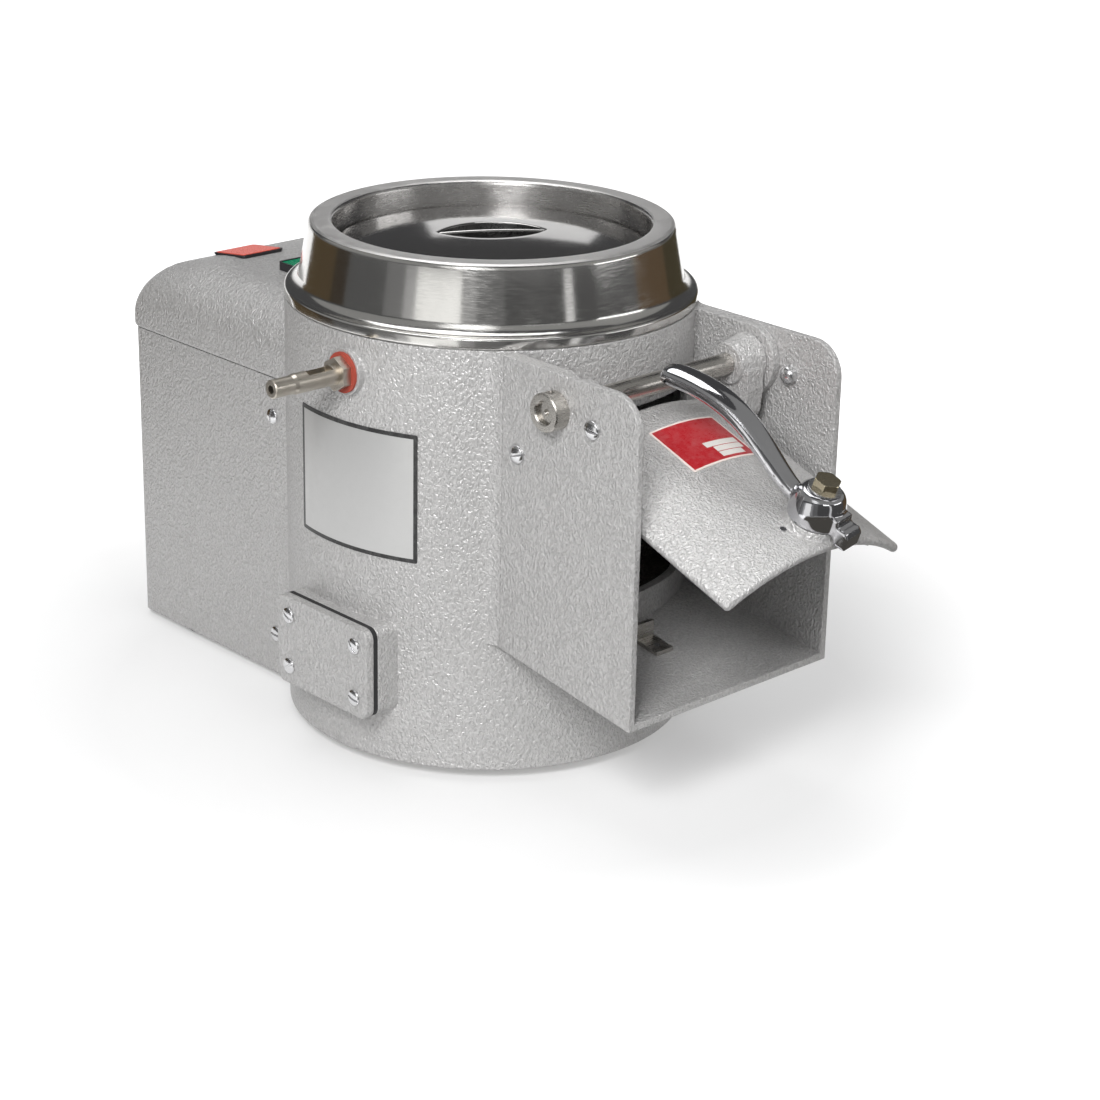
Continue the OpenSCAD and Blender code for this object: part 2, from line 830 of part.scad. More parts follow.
module plate_screws() {
    boss_screw_places()
        translate([boss_x + gasket_t + flange_t, 0, 0])
            towards_x(1)
                rotate([0, 0, 50])
                    screw(plate_head_r, plate_head_h, plate_screw_r, gasket_t + flange_t + 10, 1.6);
}

module blanking_gasket() color("black") {
    mirror([1, 0, 0]) boss_plate(boss_x, gasket_t) port_hole(port_r);
}

module blanking_plate() color("silver") {
    mirror([1, 0, 0]) boss_plate(boss_x + gasket_t, flange_t);
}

module blanking_screws() color("gainsboro") {
    mirror([1, 0, 0]) plate_screws();
}

module outlet_gasket() color("black") {
    boss_plate(boss_x, gasket_t) port_hole(port_r);
}

module waste_outlet() color("silver") {
    boss_plate(boss_x + gasket_t, flange_t) port_hole(port_r);
    // hose spigot
    translate([boss_x + gasket_t + flange_t - 0.5, -boss_y, boss_z])
        towards_x(1) ring(spigot_r, port_r, spigot_tip_x - boss_x - gasket_t - flange_t + 0.5);
}

module outlet_screws() color("gainsboro") {
    plate_screws();
}

// ---------------------------------------------------------------- water inlet

inlet_seat_x = drum_r + 2;
inlet_washer_t = 2;
inlet_nut_h = 7;
inlet_pad_x = drum_inner_r - 4;
inlet_end_x = inlet_pad_x - 12;

module water_inlet() color("tan") {
    slot_l = 22;
    slot_w = 10;
    slot_x = inlet_seat_x + inlet_washer_t + inlet_nut_h + 4;
    step_x = inlet_tip_x - 17;
    translate([0, -inlet_y, inlet_z])
        difference() {
            towards_x(-1)
                rotate_extrude()
                    polygon([
                        [inlet_bore_r, inlet_end_x], [inlet_r, inlet_end_x],
                        [inlet_r, step_x - 3], [inlet_tip_r, step_x],
                        [inlet_tip_r, inlet_tip_x - 0.8], [inlet_tip_r - 0.8, inlet_tip_x],
                        [inlet_bore_r, inlet_tip_x]
                    ]);
            // air gap in the top of the tube
            translate([-slot_x - slot_l, -slot_w / 2, 1]) cube([slot_l, slot_w, inlet_r]);
        }
}

module inlet_nut() color("tan") {
    translate([-inlet_seat_x - inlet_washer_t, -inlet_y, inlet_z])
        towards_x(-1)
            difference() {
                intersection() {
                    hex(inlet_nut_af, inlet_nut_h);
                    cylinder(r1 = inlet_nut_af, r2 = inlet_nut_af / 2, h = inlet_nut_h * 2 + 2);
                }
                translate([0, 0, -1]) cylinder(r = inlet_r + thread_fit, h = inlet_nut_h + 2);
            }
}

module inlet_washer() color("firebrick") {
    translate([-inlet_seat_x, -inlet_y, inlet_z])
        towards_x(-1) ring(15, inlet_r + seat_gap, inlet_washer_t);
}

module inlet_lock_nut() color("tan") {
    translate([-inlet_pad_x, -inlet_y, inlet_z])
        towards_x(1)
            difference() {
                hex(inlet_nut_af, 6);
                translate([0, 0, -1]) cylinder(r = inlet_r + thread_fit, h = 8);
            }
}

// ---------------------------------------------------------------- plates without words

module instruction_plate() color("lightgray") {
    wrapped(drum_r, 0.5, 169, 97.4, 187.3, 21.5);
}

// ---------------------------------------------------------------- motor housing

module casing_plan(inset) {
    r = casing_corner_r - inset;
    w = casing_half_w - inset;
    rear = casing_rear - inset;
    translate([-w, 90]) square([2 * w, rear - r - 90]);
    translate([-w + r, 90]) square([2 * (w - r), rear - 90]);
    for (x = [-1, 1]) translate([x * (w - r), rear - r]) circle(r);
}

module casing_side_profile() {
    r = 8;
    difference() {
        translate([90, casing_bottom]) square([casing_rear - 80, casing_top - casing_bottom]);
        translate([casing_rear - r, casing_bottom])
            difference() {
                translate([0, -1]) square([r + 12, r + 1]);
                translate([0, r]) circle(r);
            }
    }
}

module motor_casing() color("silver") {
    difference() {
        union() {
            intersection() {
                linear_extrude(height = casing_top + 1)
                    difference() {
                        casing_plan(0);
                        casing_plan(casing_wall);
                    }
                along_x(2 * casing_half_w + 2) casing_side_profile();
            }
            // rear posts that the base plate is screwed to
            both_sides() translate([post_x, post_y, base_top]) cylinder(r = post_r, h = 60);
            // tabs inside the rear wall that hold the cover
            both_sides()
                translate([cover_screw_x - cover_tab_w / 2, casing_rear - casing_wall - 0.2, casing_top - 20])
                    cube([cover_tab_w, cover_tab_t, cover_screw_z + 4 - casing_top + 20]);
        }
        translate([0, 0, -1]) cylinder(r = drum_r + casing_gap, h = casing_top + 40);
        both_sides() {
            for (z = casing_screw_zs)
                rod([casing_half_w - casing_wall - 1, casing_screw_y, z], plate_screw_r + seat_gap, 10);
            translate([post_x, post_y, base_top - 1]) cylinder(r = small_screw_r + thread_fit, h = 15);
            translate([cover_screw_x, casing_rear - casing_wall - 1, cover_screw_z])
                rotate([-90, 0, 0]) cylinder(r = plate_screw_r + thread_fit, h = 8);
        }
        translate([gland_x, casing_rear - casing_wall - 1, gland_z])
            rotate([-90, 0, 0]) cylinder(r = gland_r + seat_gap, h = casing_wall + 2);
    }
}

// Height of the cover's top line, which falls off behind the flat stretch
cover_bend_y = cover_flat_end + cover_back_r * sin(cover_slope);
cover_bend_z = cover_top - cover_back_r * (1 - cos(cover_slope));
cover_end_y = cover_rear - cover_end_r;
cover_end_drop = cover_end_r * cos(cover_slope);

function cover_top_at(y) =
    y <= cover_flat_end ? cover_top :
    y <= cover_end_y + cover_end_r * sin(cover_slope) ?
        cover_top - cover_back_r + sqrt(pow(cover_back_r, 2) - pow(y - cover_flat_end, 2)) :
    cover_bend_z - cover_end_drop + sqrt(max(0, pow(cover_end_r, 2) - pow(y - cover_end_y, 2)));

function rounded_off(y, end, r) = y <= end - r ? 0 : r - sqrt(max(0, r * r - pow(y - end + r, 2)));

// Outline of the cover in X and Z at one place along Y
function cover_ring(y, inset, bottom) =
    let (
        end = cover_rear - inset,
        w = cover_half_w - inset - rounded_off(y, end, cover_plan_r - inset),
        top = cover_top_at(min(y + inset, cover_rear)) - inset,
        low = bottom + rounded_off(y, end, cover_rear_lip_r - inset),
        shoulder = min(cover_shoulder_r - inset, 0.7 * (top - low)),
        lip = min(cover_lip_r, 0.25 * (top - low)),
        outline = concat(
            arc([w - lip, low + lip], lip, -90, 0, 3),
            arc([w - shoulder, top - shoulder], shoulder, 0, 90, 12),
            arc([shoulder - w, top - shoulder], shoulder, 90, 180, 12),
            arc([lip - w, low + lip], lip, 180, 270, 3)
        )
    )
    [for (p = outline) [p[0], y, p[1]]];

module cover_form(inset, bottom) {
    end = cover_rear - inset;
    ys = concat([100, cover_flat_end],
                [for (i = [1 : 4]) cover_flat_end + i * (cover_bend_y - cover_flat_end) / 4],
                [for (a = [24 : 8 : 88]) end - (cover_end_r - inset) * (1 - sin(a))], [end]);
    loft([for (y = ys) cover_ring(y, inset, bottom)]);
}

module switch_place(y, z, tilt) {
    translate([switch_x, y, z]) rotate([tilt, 0, 0]) children();
}

module casing_cover() color("silver") {
    difference() {
        cover_form(0, seam_z);
        cover_form(cover_wall, seam_z - 30);
        translate([0, 0, seam_z - 10]) cylinder(r = drum_r + casing_gap, h = 100);
        switch_place(start_y, cover_top, 0) switch_part(start_size, switch_flange - seat_gap, -30, 30);
        switch_place(stop_y, stop_z, stop_tilt) switch_part(stop_size, switch_flange - seat_gap, -30, 30);
        both_sides()
            translate([cover_screw_x, cover_rear - 10, cover_screw_z])
                rotate([-90, 0, 0]) cylinder(r = plate_screw_r + seat_gap, h = 20);
    }
}

module casing_screws() color("gainsboro") {
    both_sides()
        for (z = casing_screw_zs)
            translate([casing_half_w, casing_screw_y, z])
                towards_x(1)
                    rotate([0, 0, 30])
                        screw(plate_head_r, plate_head_h, plate_screw_r, casing_wall + 10, 1.6);
}

module cover_screws() color("gainsboro") {
    both_sides()
        translate([cover_screw_x, cover_rear, cover_screw_z])
            rotate([-90, 0, 0])
                screw(plate_head_r, plate_head_h, plate_screw_r, cover_rear_lip + casing_wall + 1, 1.6);
}

// Square block with round upright corners, set in from the outline of its switch
module switch_part(size, inset, bottom, top) {
    w = size - 2 * inset;
    translate([0, 0, bottom])
        linear_extrude(height = top - bottom) rounded_rect(w, w, switch_corner_r - inset);
}

module switch_block(size, frame_h, tread) {
    difference() {
        union() {
            switch_part(size, 0, 0, frame_h);
            switch_part(size, switch_flange, -26, 0.5);
        }
        switch_part(size, switch_rim, -tread, 60);
    }
}

module button_block(size, top, bottom) {
    switch_part(size, switch_rim + button_gap, bottom, top);
}

module start_switch() color("black") {
    switch_place(start_y, cover_top, 0) switch_block(start_size, start_bezel_h, 6);
}

module start_button() color("seagreen") {
    switch_place(start_y, cover_top, 0)
        button_block(start_size, start_bezel_h - 0.5, button_travel - 5.5);
}

module stop_switch() color("black") {
    switch_place(stop_y, stop_z, stop_tilt) switch_block(stop_size, 1.2, 10);
}

module stop_button() color("red") {
    switch_place(stop_y, stop_z, stop_tilt) button_block(stop_size, 1.6, button_travel - 9.5);
}

// ---------------------------------------------------------------- base

module base_plan() {
    circle(drum_inner_r - side_gap);
    translate([-tunnel_half_w + 2, 0]) square([2 * tunnel_half_w - 4, drum_r + 10]);
    difference() {
        casing_plan(casing_wall + side_gap);
        circle(drum_r + side_gap);
    }
}

module base_plate() color("gray") {
    difference() {
        translate([0, 0, base_z]) linear_extrude(height = base_t) base_plan();
        base_screw_places() translate([0, 0, -5]) cylinder(r = small_screw_r + seat_gap, h = 10);
        for (p = foot_places) translate([p[0], p[1], 0]) cylinder(r = 3 + seat_gap, h = 20);
    }
}

module base_screw_places() {
    for (a = skirt_lug_angles) rotate([0, 0, a]) translate([skirt_lug_r, 0, base_z]) children();
    both_sides() translate([post_x, post_y, base_z]) children();
}

module base_screws() color("gainsboro") {
    base_screw_places()
        rotate([180, 0, 0]) screw(small_head_r, small_head_h, small_screw_r, base_t + 12);
}

module feet() color("black") {
    for (p = foot_places)
        translate([p[0], p[1], 0])
            rotate_extrude()
                polygon([
                    [3.2, 5], [8, 5], [8, 0], [foot_r - 3, 0], [foot_r - 1.6, 1.4],
                    [foot_r, base_z], [3.2, base_z]
                ]);
}

module foot_screws() color("gainsboro") {
    for (p = foot_places)
        translate([p[0], p[1], 0]) {
            translate([0, 0, 5]) rotate([180, 0, 0]) screw(5.5, 3, 3, base_top, 1.5);
            translate([0, 0, base_top])
                difference() {
                    hex(10, 4.5);
                    translate([0, 0, -1]) cylinder(r = 3 + thread_fit, h = 8);
                }
        }
}

// ---------------------------------------------------------------- motor and belt drive

bracket_half_w = 80;
bracket_front = 168;
bracket_rear = 300;
motor_bottom = bracket_z;

module at_motor() {
    translate([0, motor_y, 0]) children();
}

module motor_body() color("steelblue") {
    at_motor()
        difference() {
            union() {
                translate([0, 0, motor_bottom]) cylinder(r = motor_r - 4, h = motor_top - motor_bottom);
                translate([0, 0, motor_bottom]) cylinder(r = motor_r, h = motor_end_t);
                translate([0, 0, motor_top - motor_end_t - 8]) cylinder(r = motor_r, h = motor_end_t);
                for (i = [0 : motor_rib_count - 1])
                    rotate([0, 0, 360 * i / motor_rib_count])
                        translate([motor_r - 6, -1.2, motor_bottom + motor_end_t - 1])
                            cube([5, 2.4, motor_top - motor_bottom - 2 * motor_end_t - 6]);
            }
            translate([0, 0, motor_bottom + motor_end_t])
                cylinder(r = motor_r - 4 - motor_wall, h = motor_top - motor_bottom - 2 * motor_end_t);
            translate([0, 0, motor_bottom - 1])
                cylinder(r = motor_shaft_r + running_fit, h = motor_end_t + 2);
            translate([0, 0, motor_top - motor_end_t - 1])
                cylinder(r = motor_shaft_r + running_fit, h = motor_end_t - 3);
            motor_bolt_places() cylinder(r = 3 + thread_fit, h = 8);
        }
}

module motor_bolt_places() {
    for (a = [45 : 90 : 315])
        rotate([0, 0, a]) translate([motor_bolt_r, 0, motor_bottom - 0.01]) children();
}

module at_capacitor() {
    translate([-bracket_half_w + 16.5, bracket_front + 16.5, bracket_z]) children();
}

module motor_bracket() color("dimgray") {
    difference() {
        union() {
            translate([-bracket_half_w, bracket_front, bracket_z - bracket_t])
                cube([2 * bracket_half_w, bracket_rear - bracket_front, bracket_t]);
            both_sides()
                translate([bracket_half_w - bracket_t, bracket_front, base_top])
                    cube([bracket_t, bracket_rear - bracket_front, bracket_z - base_top - 1]);
        }
        at_motor() translate([0, 0, bracket_z - bracket_t - 1]) cylinder(r = 20, h = bracket_t + 2);
        at_motor()
            motor_bolt_places()
                translate([0, 0, -bracket_t - 1]) cylinder(r = 3 + seat_gap, h = bracket_t + 2);
        at_capacitor() translate([0, 0, -bracket_t - 1]) cylinder(r = 4 + seat_gap, h = bracket_t + 2);
    }
}

module motor_bolts() color("gray") {
    at_motor()
        motor_bolt_places()
            translate([0, 0, -bracket_t]) {
                translate([0, 0, -4]) hex(10, 4);
                translate([0, 0, -1]) cylinder(r = 3, h = bracket_t + 8);
            }
}

// Turned shape of a pulley with a groove for the belt and a boss in the middle
module pulley(pitch_r, shaft_r) {
    groove = belt_t + 2;
    rim = pitch_r + 3;
    top = belt_w / 2 + 1.5;
    foot = top - 2.5;
    mid = pulley_w / 2;
    rotate_extrude()
        polygon([
            [shaft_r, 0], [rim, 0], [rim, mid - top], [rim - groove, mid - foot],
            [rim - groove, mid + foot], [rim, mid + top], [rim, pulley_w], [shaft_r, pulley_w]
        ]);
}

// Closed line round both pulleys, grown outwards
module belt_loop(grow) {
    r1 = driven_pulley_r + grow;
    r2 = motor_pulley_r + grow;
    lean = asin((r1 - r2) / motor_y);
    side = [cos(lean), sin(lean)];
    circle(r1);
    translate([0, motor_y]) circle(r2);
    polygon([
        r1 * side, [0, motor_y] + r2 * side,
        [0, motor_y] + r2 * [-side[0], side[1]], r1 * [-side[0], side[1]]
    ]);
}

module drive_belt() color("black") {
    translate([0, 0, belt_z + 1])
        linear_extrude(height = belt_w - 2)
            difference() {
                belt_loop(3);
                belt_loop(3 - belt_t);
            }
}

module motor_rotor() color("darkgray") {
    rotor_h = motor_top - motor_bottom - 2 * motor_end_t - 30;
    at_motor() {
        translate([0, 0, pulley_z]) cylinder(r = motor_shaft_r, h = motor_top - 5 - pulley_z);
        translate([0, 0, motor_bottom + motor_end_t + 15])
            cylinder(r = motor_r - 4 - motor_wall - rotor_gap - 6, h = rotor_h);
    }
}

module motor_pulley() color("gray") {
    at_motor() translate([0, 0, pulley_z]) pulley(motor_pulley_r, motor_shaft_r + thread_fit);
}

module capacitor() color("gainsboro") {
    at_capacitor() {
        cylinder(r = 16, h = 78);
        translate([0, 0, -bracket_t - 4]) cylinder(r = 4, h = bracket_t + 5);
    }
}

module terminal_block() color("ivory") {
    pole = 10;
    translate([bracket_half_w - 23, bracket_front + 1, bracket_z])
        difference() {
            cube([22, 3 * pole, 16]);
            for (i = [0 : 2])
                translate([11, pole * (i + 0.5), 6]) cylinder(r = 2.6, h = 20);
        }
}

module cable_gland() color("black") {
    translate([gland_x, casing_rear, gland_z])
        rotate([-90, 0, 0])
            difference() {
                union() {
                    hex(24, 6);
                    translate([0, 0, 6]) cylinder(r1 = 11, r2 = 9, h = 11);
                    translate([0, 0, -casing_wall - 9]) cylinder(r = gland_r, h = casing_wall + 10);
                }
                translate([0, 0, -30]) cylinder(r = gland_bore_r, h = 60);
            }
}

module gland_lock_nut() color("black") {
    translate([gland_x, casing_rear - casing_wall, gland_z])
        rotate([90, 0, 0])
            difference() {
                hex(24, 5);
                translate([0, 0, -1]) cylinder(r = gland_r + thread_fit, h = 8);
            }
}

// ---------------------------------------------------------------- spindle and peeler plate

// Turned casting that stands in the drum's floor and holds both bearings
module bearing_housing() color("silver") {
    difference() {
        union() {
            translate([0, 0, housing_bottom]) cylinder(r = housing_r, h = housing_top - housing_bottom);
            translate([0, 0, floor_z - housing_flange_t])
                cylinder(r = housing_flange_r, h = housing_flange_t);
        }
        rotate_extrude()
            polygon([
                [0, housing_bottom - 1], [bearing_r, housing_bottom - 1],
                [bearing_r, lower_bearing_z + bearing_w],
                [bearing_shoulder_r, lower_bearing_z + bearing_w],
                [bearing_shoulder_r, upper_bearing_z], [bearing_r, upper_bearing_z],
                [bearing_r, housing_top + 1], [0, housing_top + 1]
            ]);
        housing_screw_places() cylinder(r = 3 + seat_gap, h = 3 * housing_flange_t, center = true);
    }
}

module housing_screws() color("gainsboro") {
    housing_screw_places()
        translate([0, 0, -housing_flange_t])
            rotate([180, 0, 0]) screw(5, 3, 3, housing_flange_t + floor_t - 3, 1.5);
}

module upper_bearing() color("darkgray") {
    translate([0, 0, upper_bearing_z]) ring(bearing_r, spindle_r + running_fit, bearing_w);
}

module lower_bearing() color("darkgray") {
    translate([0, 0, lower_bearing_z]) ring(bearing_r, spindle_r + running_fit, bearing_w);
}

module shaft_seal() color("black") {
    translate([0, 0, housing_top - seal_w]) ring(bearing_r, spindle_r + side_gap, seal_w);
}

module spindle() color("darkgray") {
    difference() {
        union() {
            translate([0, 0, spindle_bottom]) cylinder(r = spindle_r, h = shoulder_z - spindle_bottom + 1);
            translate([0, 0, shoulder_z]) cylinder(r = spindle_r + 6, h = shoulder_t);
            translate([0, 0, shoulder_z + shoulder_t - 0.5]) hex(drive_af, drive_top - hub_h + 0.5);
        }
        translate([0, 0, circlip_z])
            ring(spindle_r + 1, spindle_r - circlip_depth, circlip_t);
    }
}

module spindle_circlip() color("gray") {
    translate([0, 0, circlip_z])
        difference() {
            ring(spindle_r + 2.5, spindle_r - circlip_depth, circlip_t);
            translate([0, -2, -1]) cube([spindle_r + 5, 4, circlip_t + 2]);
        }
}

module driven_pulley() color("gray") {
    spoke_hole_r = 14;
    hole_ring_r = (driven_pulley_r + spindle_r) / 2 + 2;
    difference() {
        translate([0, 0, pulley_z]) pulley(driven_pulley_r, spindle_r + thread_fit);
        for (i = [0 : 4])
            rotate([0, 0, 72 * i])
                translate([hole_ring_r, 0, pulley_z - 1]) cylinder(r = spoke_hole_r, h = pulley_w + 2);
    }
}

module hex_socket() {
    translate([0, 0, hub_h - 1]) hex(drive_af + 2 * side_gap, drive_top - hub_h + 1 + side_gap);
}

module peeler_plate() color("lightgray") {
    difference() {
        union() {
            translate([0, 0, plate_z]) cylinder(r = plate_r, h = plate_t);
            // driving hub on the spindle's shoulder
            translate([0, 0, hub_h]) cylinder(r = spindle_r + hub_wall + 4, h = plate_z - hub_h + 1);
            // skirt that keeps water off the bearing housing
            translate([0, 0, vane_bottom + 4])
                ring(labyrinth_r + 5, labyrinth_r, plate_z - vane_bottom - 3);
            for (i = [0 : vane_count - 1])
                rotate([0, 0, 360 * i / vane_count])
                    translate([labyrinth_r + 3, -vane_t / 2, vane_bottom])
                        cube([vane_tip_r - labyrinth_r - 3, vane_t, plate_z - vane_bottom + 1]);
        }
        hex_socket();
    }
}

module abrasive_disc() color("dimgray") {
    bottom = plate_z + plate_t;
    top = bottom + grit_t;
    difference() {
        union() {
            translate([0, 0, bottom]) cylinder(r = plate_r, h = grit_t);
            // round-backed waves from the middle to the edge
            intersection() {
                translate([0, 0, bottom + 0.5])
                    cylinder(r1 = plate_r + 4, r2 = plate_r - 12, h = wave_h + grit_t + 1);
                for (i = [0 : wave_count - 1])
                    rotate([0, 0, 360 * i / wave_count + 90])
                        translate([0, 0, top + wave_h - wave_back_r])
                            rotate([0, 90, 0]) cylinder(r = wave_back_r, h = plate_r + 5);
            }
        }
        hex_socket();
    }
}

// ---------------------------------------------------------------- collar and lid

collar_rim_r = 5;
collar_inner_rim_r = 4;
spigot_l = 12;
spigot_wall = 2;

module collar() color("gainsboro") {
    spigot = drum_inner_r - side_gap;
    rim_c = [collar_top_r - collar_rim_r, rim_top - collar_rim_r];
    bore_c = [hopper_r + collar_inner_rim_r, rim_top - collar_inner_rim_r];
    fillet_c = [collar_foot_r + collar_fillet, flange_top + collar_fillet];
    inside_r = collar_foot_r - collar_sheet;
    rotate_extrude($fn = 180)
        polygon(concat(
            [[spigot, drum_top - spigot_l], [spigot, drum_top], [collar_seat_r, drum_top],
             [collar_seat_r, flange_z], [flange_r - 1, flange_z], [flange_r, flange_z + 1]],
            arc([flange_r - 1.5, flange_top - 1.5], 1.5, 0, 90, 4),
            arc(fillet_c, collar_fillet, 270, 180, 10),
            arc(rim_c, collar_rim_r, 8, 90, 8),
            arc(bore_c, collar_inner_rim_r, 90, 180, 8),
            [[hopper_r, ledge_z], [hopper_r - ledge_w, ledge_z],
             [hopper_r - ledge_w, ledge_z - collar_sheet], [hopper_r + collar_sheet, ledge_z - collar_sheet]],
            arc(bore_c, collar_inner_rim_r - collar_sheet, 180, 90, 6),
            arc(rim_c, collar_rim_r - collar_sheet, 90, 8, 6),
            [[inside_r, flange_top + collar_fillet], [inside_r, drum_top + 4],
             [spigot - spigot_wall, drum_top + 1], [spigot - spigot_wall, drum_top - spigot_l]]
        ));
}

function lid_height(r) = lid_top - lid_crown * pow(r / lid_r, 2);

// Column with the lens-shaped outline of the grip recess, grown outwards
module grip_prism(grow, z) {
    r = (pow(grip_half_l, 2) + pow(grip_half_w, 2)) / (2 * grip_half_w);
    translate([0, 0, z])
        rotate([0, 0, grip_web_angle])
            linear_extrude(height = 2 * grip_depth)
                intersection() {
                    translate([0, r - grip_half_w]) circle(r + grow);
                    translate([0, grip_half_w - r]) circle(r + grow);
                }
}

module lid() color("gainsboro") {
    steps = 16;
    rim_in = lid_r - 4;
    crown = [for (i = [0 : steps]) let (r = rim_in * (1 - i / steps)) [r, lid_height(r)]];
    difference() {
        rotate_extrude($fn = 180)
            polygon(concat(
                [[lid_r, ledge_z], [lid_r, ledge_z + lid_rim_t - 1], [lid_r - 1, ledge_z + lid_rim_t],
                 [rim_in + 1.5, ledge_z + lid_rim_t]],
                crown,
                [for (i = [steps : -1 : 0]) [min(crown[i][0], rim_in - 1), crown[i][1] - lid_sheet]],
                [[rim_in - 1, ledge_z]]
            ));
        grip_prism(0, grip_floor);
    }
    // cup of the recess and the finger web across it, both up to the crown
    intersection() {
        rotate_extrude($fn = 180) polygon(concat([[0, grip_floor], [rim_in, grip_floor]], crown));
        union() {
            difference() {
                grip_prism(lid_sheet, grip_floor - 1);
                grip_prism(0, grip_floor + lid_sheet);
            }
            rotate([0, 0, grip_web_angle])
                translate([-grip_half_l, -grip_web_t / 2, grip_floor])
                    cube([2 * grip_half_l, grip_web_t, grip_depth + 1]);
        }
    }
}

// ---------------------------------------------------------------- door

module door_panel() {
    rotate([0, 0, -90 - door_half_angle])
        rotate_extrude(angle = 2 * door_half_angle) {
            translate([door_inner_r, door_bottom + door_edge_r])
                square([door_wall, door_top - door_bottom - door_edge_r]);
            translate([door_inner_r + door_edge_r, door_bottom + door_edge_r]) circle(door_edge_r);
        }
    for (a = [-1, 1])
        rotate([0, 0, -90 + a * door_half_angle])
            translate([door_inner_r + door_edge_r, 0, door_bottom + door_edge_r]) {
                cylinder(r = door_edge_r, h = door_top - door_bottom - door_edge_r);
                sphere(r = door_edge_r);
            }
}

// Hub and arm that reach from the panel's upper corner forwards to the hinge shaft
module door_arm() {
    foot_y = sqrt(pow(door_inner_r, 2) - pow(door_half_w, 2)) - 3;
    translate([hub_inner_x, -hinge_y, hinge_z])
        towards_x(1) cylinder(r1 = hub_inner_r, r2 = hub_r, h = hub_outer_x - hub_inner_x);
    translate([hub_inner_x + 3, 0, 0])
        rotate([90, 0, 90])
            linear_extrude(height = door_half_w - 1 - hub_inner_x - 3)
                polygon([
                    [-hinge_y + 2, hinge_z + hub_inner_r],
                    [-hinge_y + 18, hinge_z + 10],
                    [-foot_y, door_top],
                    [-foot_y, door_top - 20],
                    [-hinge_y + 27, hinge_z - 28],
                    [-hinge_y + 9, hinge_z - 24],
                    [-hinge_y - 4, hinge_z - hub_r + 1]
                ]);
}

module latch_pad() {
    latch_space()
        translate([0, 0, -4])
            cylinder(r1 = latch_pad_r + 2, r2 = latch_pad_r - 1, h = latch_pad_h + 4);
}

module door_casting() color("silver") {
    door_space()
        difference() {
            union() {
                door_panel();
                latch_pad();
                difference() {
                    both_sides() door_arm();
                    translate([0, 0, door_bottom]) cylinder(r = door_inner_r + 1.5, h = 250);
                }
            }
            rod([-guard_x, -hinge_y, hinge_z], hinge_shaft_r + running_fit, 2 * guard_x);
            latch_space() translate([0, 0, -20]) cylinder(r = latch_bolt_r + thread_fit, h = 40);
        }
}

module door_liner() color("black") {
    h = mouth_top - mouth_bottom - 2 * liner_gap;
    door_space()
        intersection() {
            wrapped(door_inner_r - liner_t, liner_t, mouth_bottom + liner_gap, h, -90, 40);
            translate([0, 0, (mouth_top + mouth_bottom) / 2])
                rotate([90, 0, 0])
                    linear_extrude(height = door_outer_r)
                        rounded_rect(2 * (mouth_half_w - liner_gap), h + 2, mouth_corner_r);
        }
}

module rating_plate() color("firebrick") {
    middle = asin(3 / door_outer_r);
    door_space()
        wrapped(door_outer_r, 0.5, hinge_z - 75.5, rating_h, -90 + middle, asin(rating_w / 2 / door_outer_r));
}

module latch_bolt() color("darkkhaki") {
    seat = latch_hub_top + side_gap + latch_washer_t;
    door_space()
        latch_space() {
            translate([0, 0, -door_wall + 0.5]) cylinder(r = latch_bolt_r, h = seat + door_wall);
            translate([0, 0, seat])
                intersection() {
                    hex(latch_bolt_af, latch_head_h);
                    cylinder(r1 = latch_bolt_af, r2 = latch_bolt_af / 2 - 0.5, h = latch_head_h + 1);
                }
        }
}

module latch_washer() color("gainsboro") {
    door_space()
        latch_space()
            translate([0, 0, latch_hub_top + side_gap]) ring(12, latch_bolt_r + seat_gap, latch_washer_t);
}

// Curved handle: oval rings along a cubic curve in the latch's X and Z
handle_points = [[10, 12], [50, 19], [68, 61], [142, 40]];
handle_rings = 18;
handle_sides = 16;

function handle_half_width(t) = 7 + 5 * sin(90 * min(1, t / 0.8));
function handle_half_thickness(t) = 6 + 1.8 * t;
function handle_end(t) = t < 0.95 ? 1 : sqrt(1 - 0.3 * pow((t - 0.95) / 0.05, 2));

function handle_ring(t) =
    let (
        c = curve(handle_points, t),
        d = curve(handle_points, min(t + 0.01, 1)) - curve(handle_points, max(t - 0.01, 0)),
        n = [-d[1], d[0]] / norm(d)
    )
    [for (j = [0 : handle_sides - 1])
        let (
            a = 360 * j / handle_sides,
            up = handle_half_thickness(t) * handle_end(t) * cos(a),
            out = handle_half_width(t) * handle_end(t) * sin(a)
        )
        [c[0] + n[0] * up, out, c[1] + n[1] * up]];

module handle() {
    loft([for (i = [0 : handle_rings]) handle_ring(i / handle_rings)]);
}

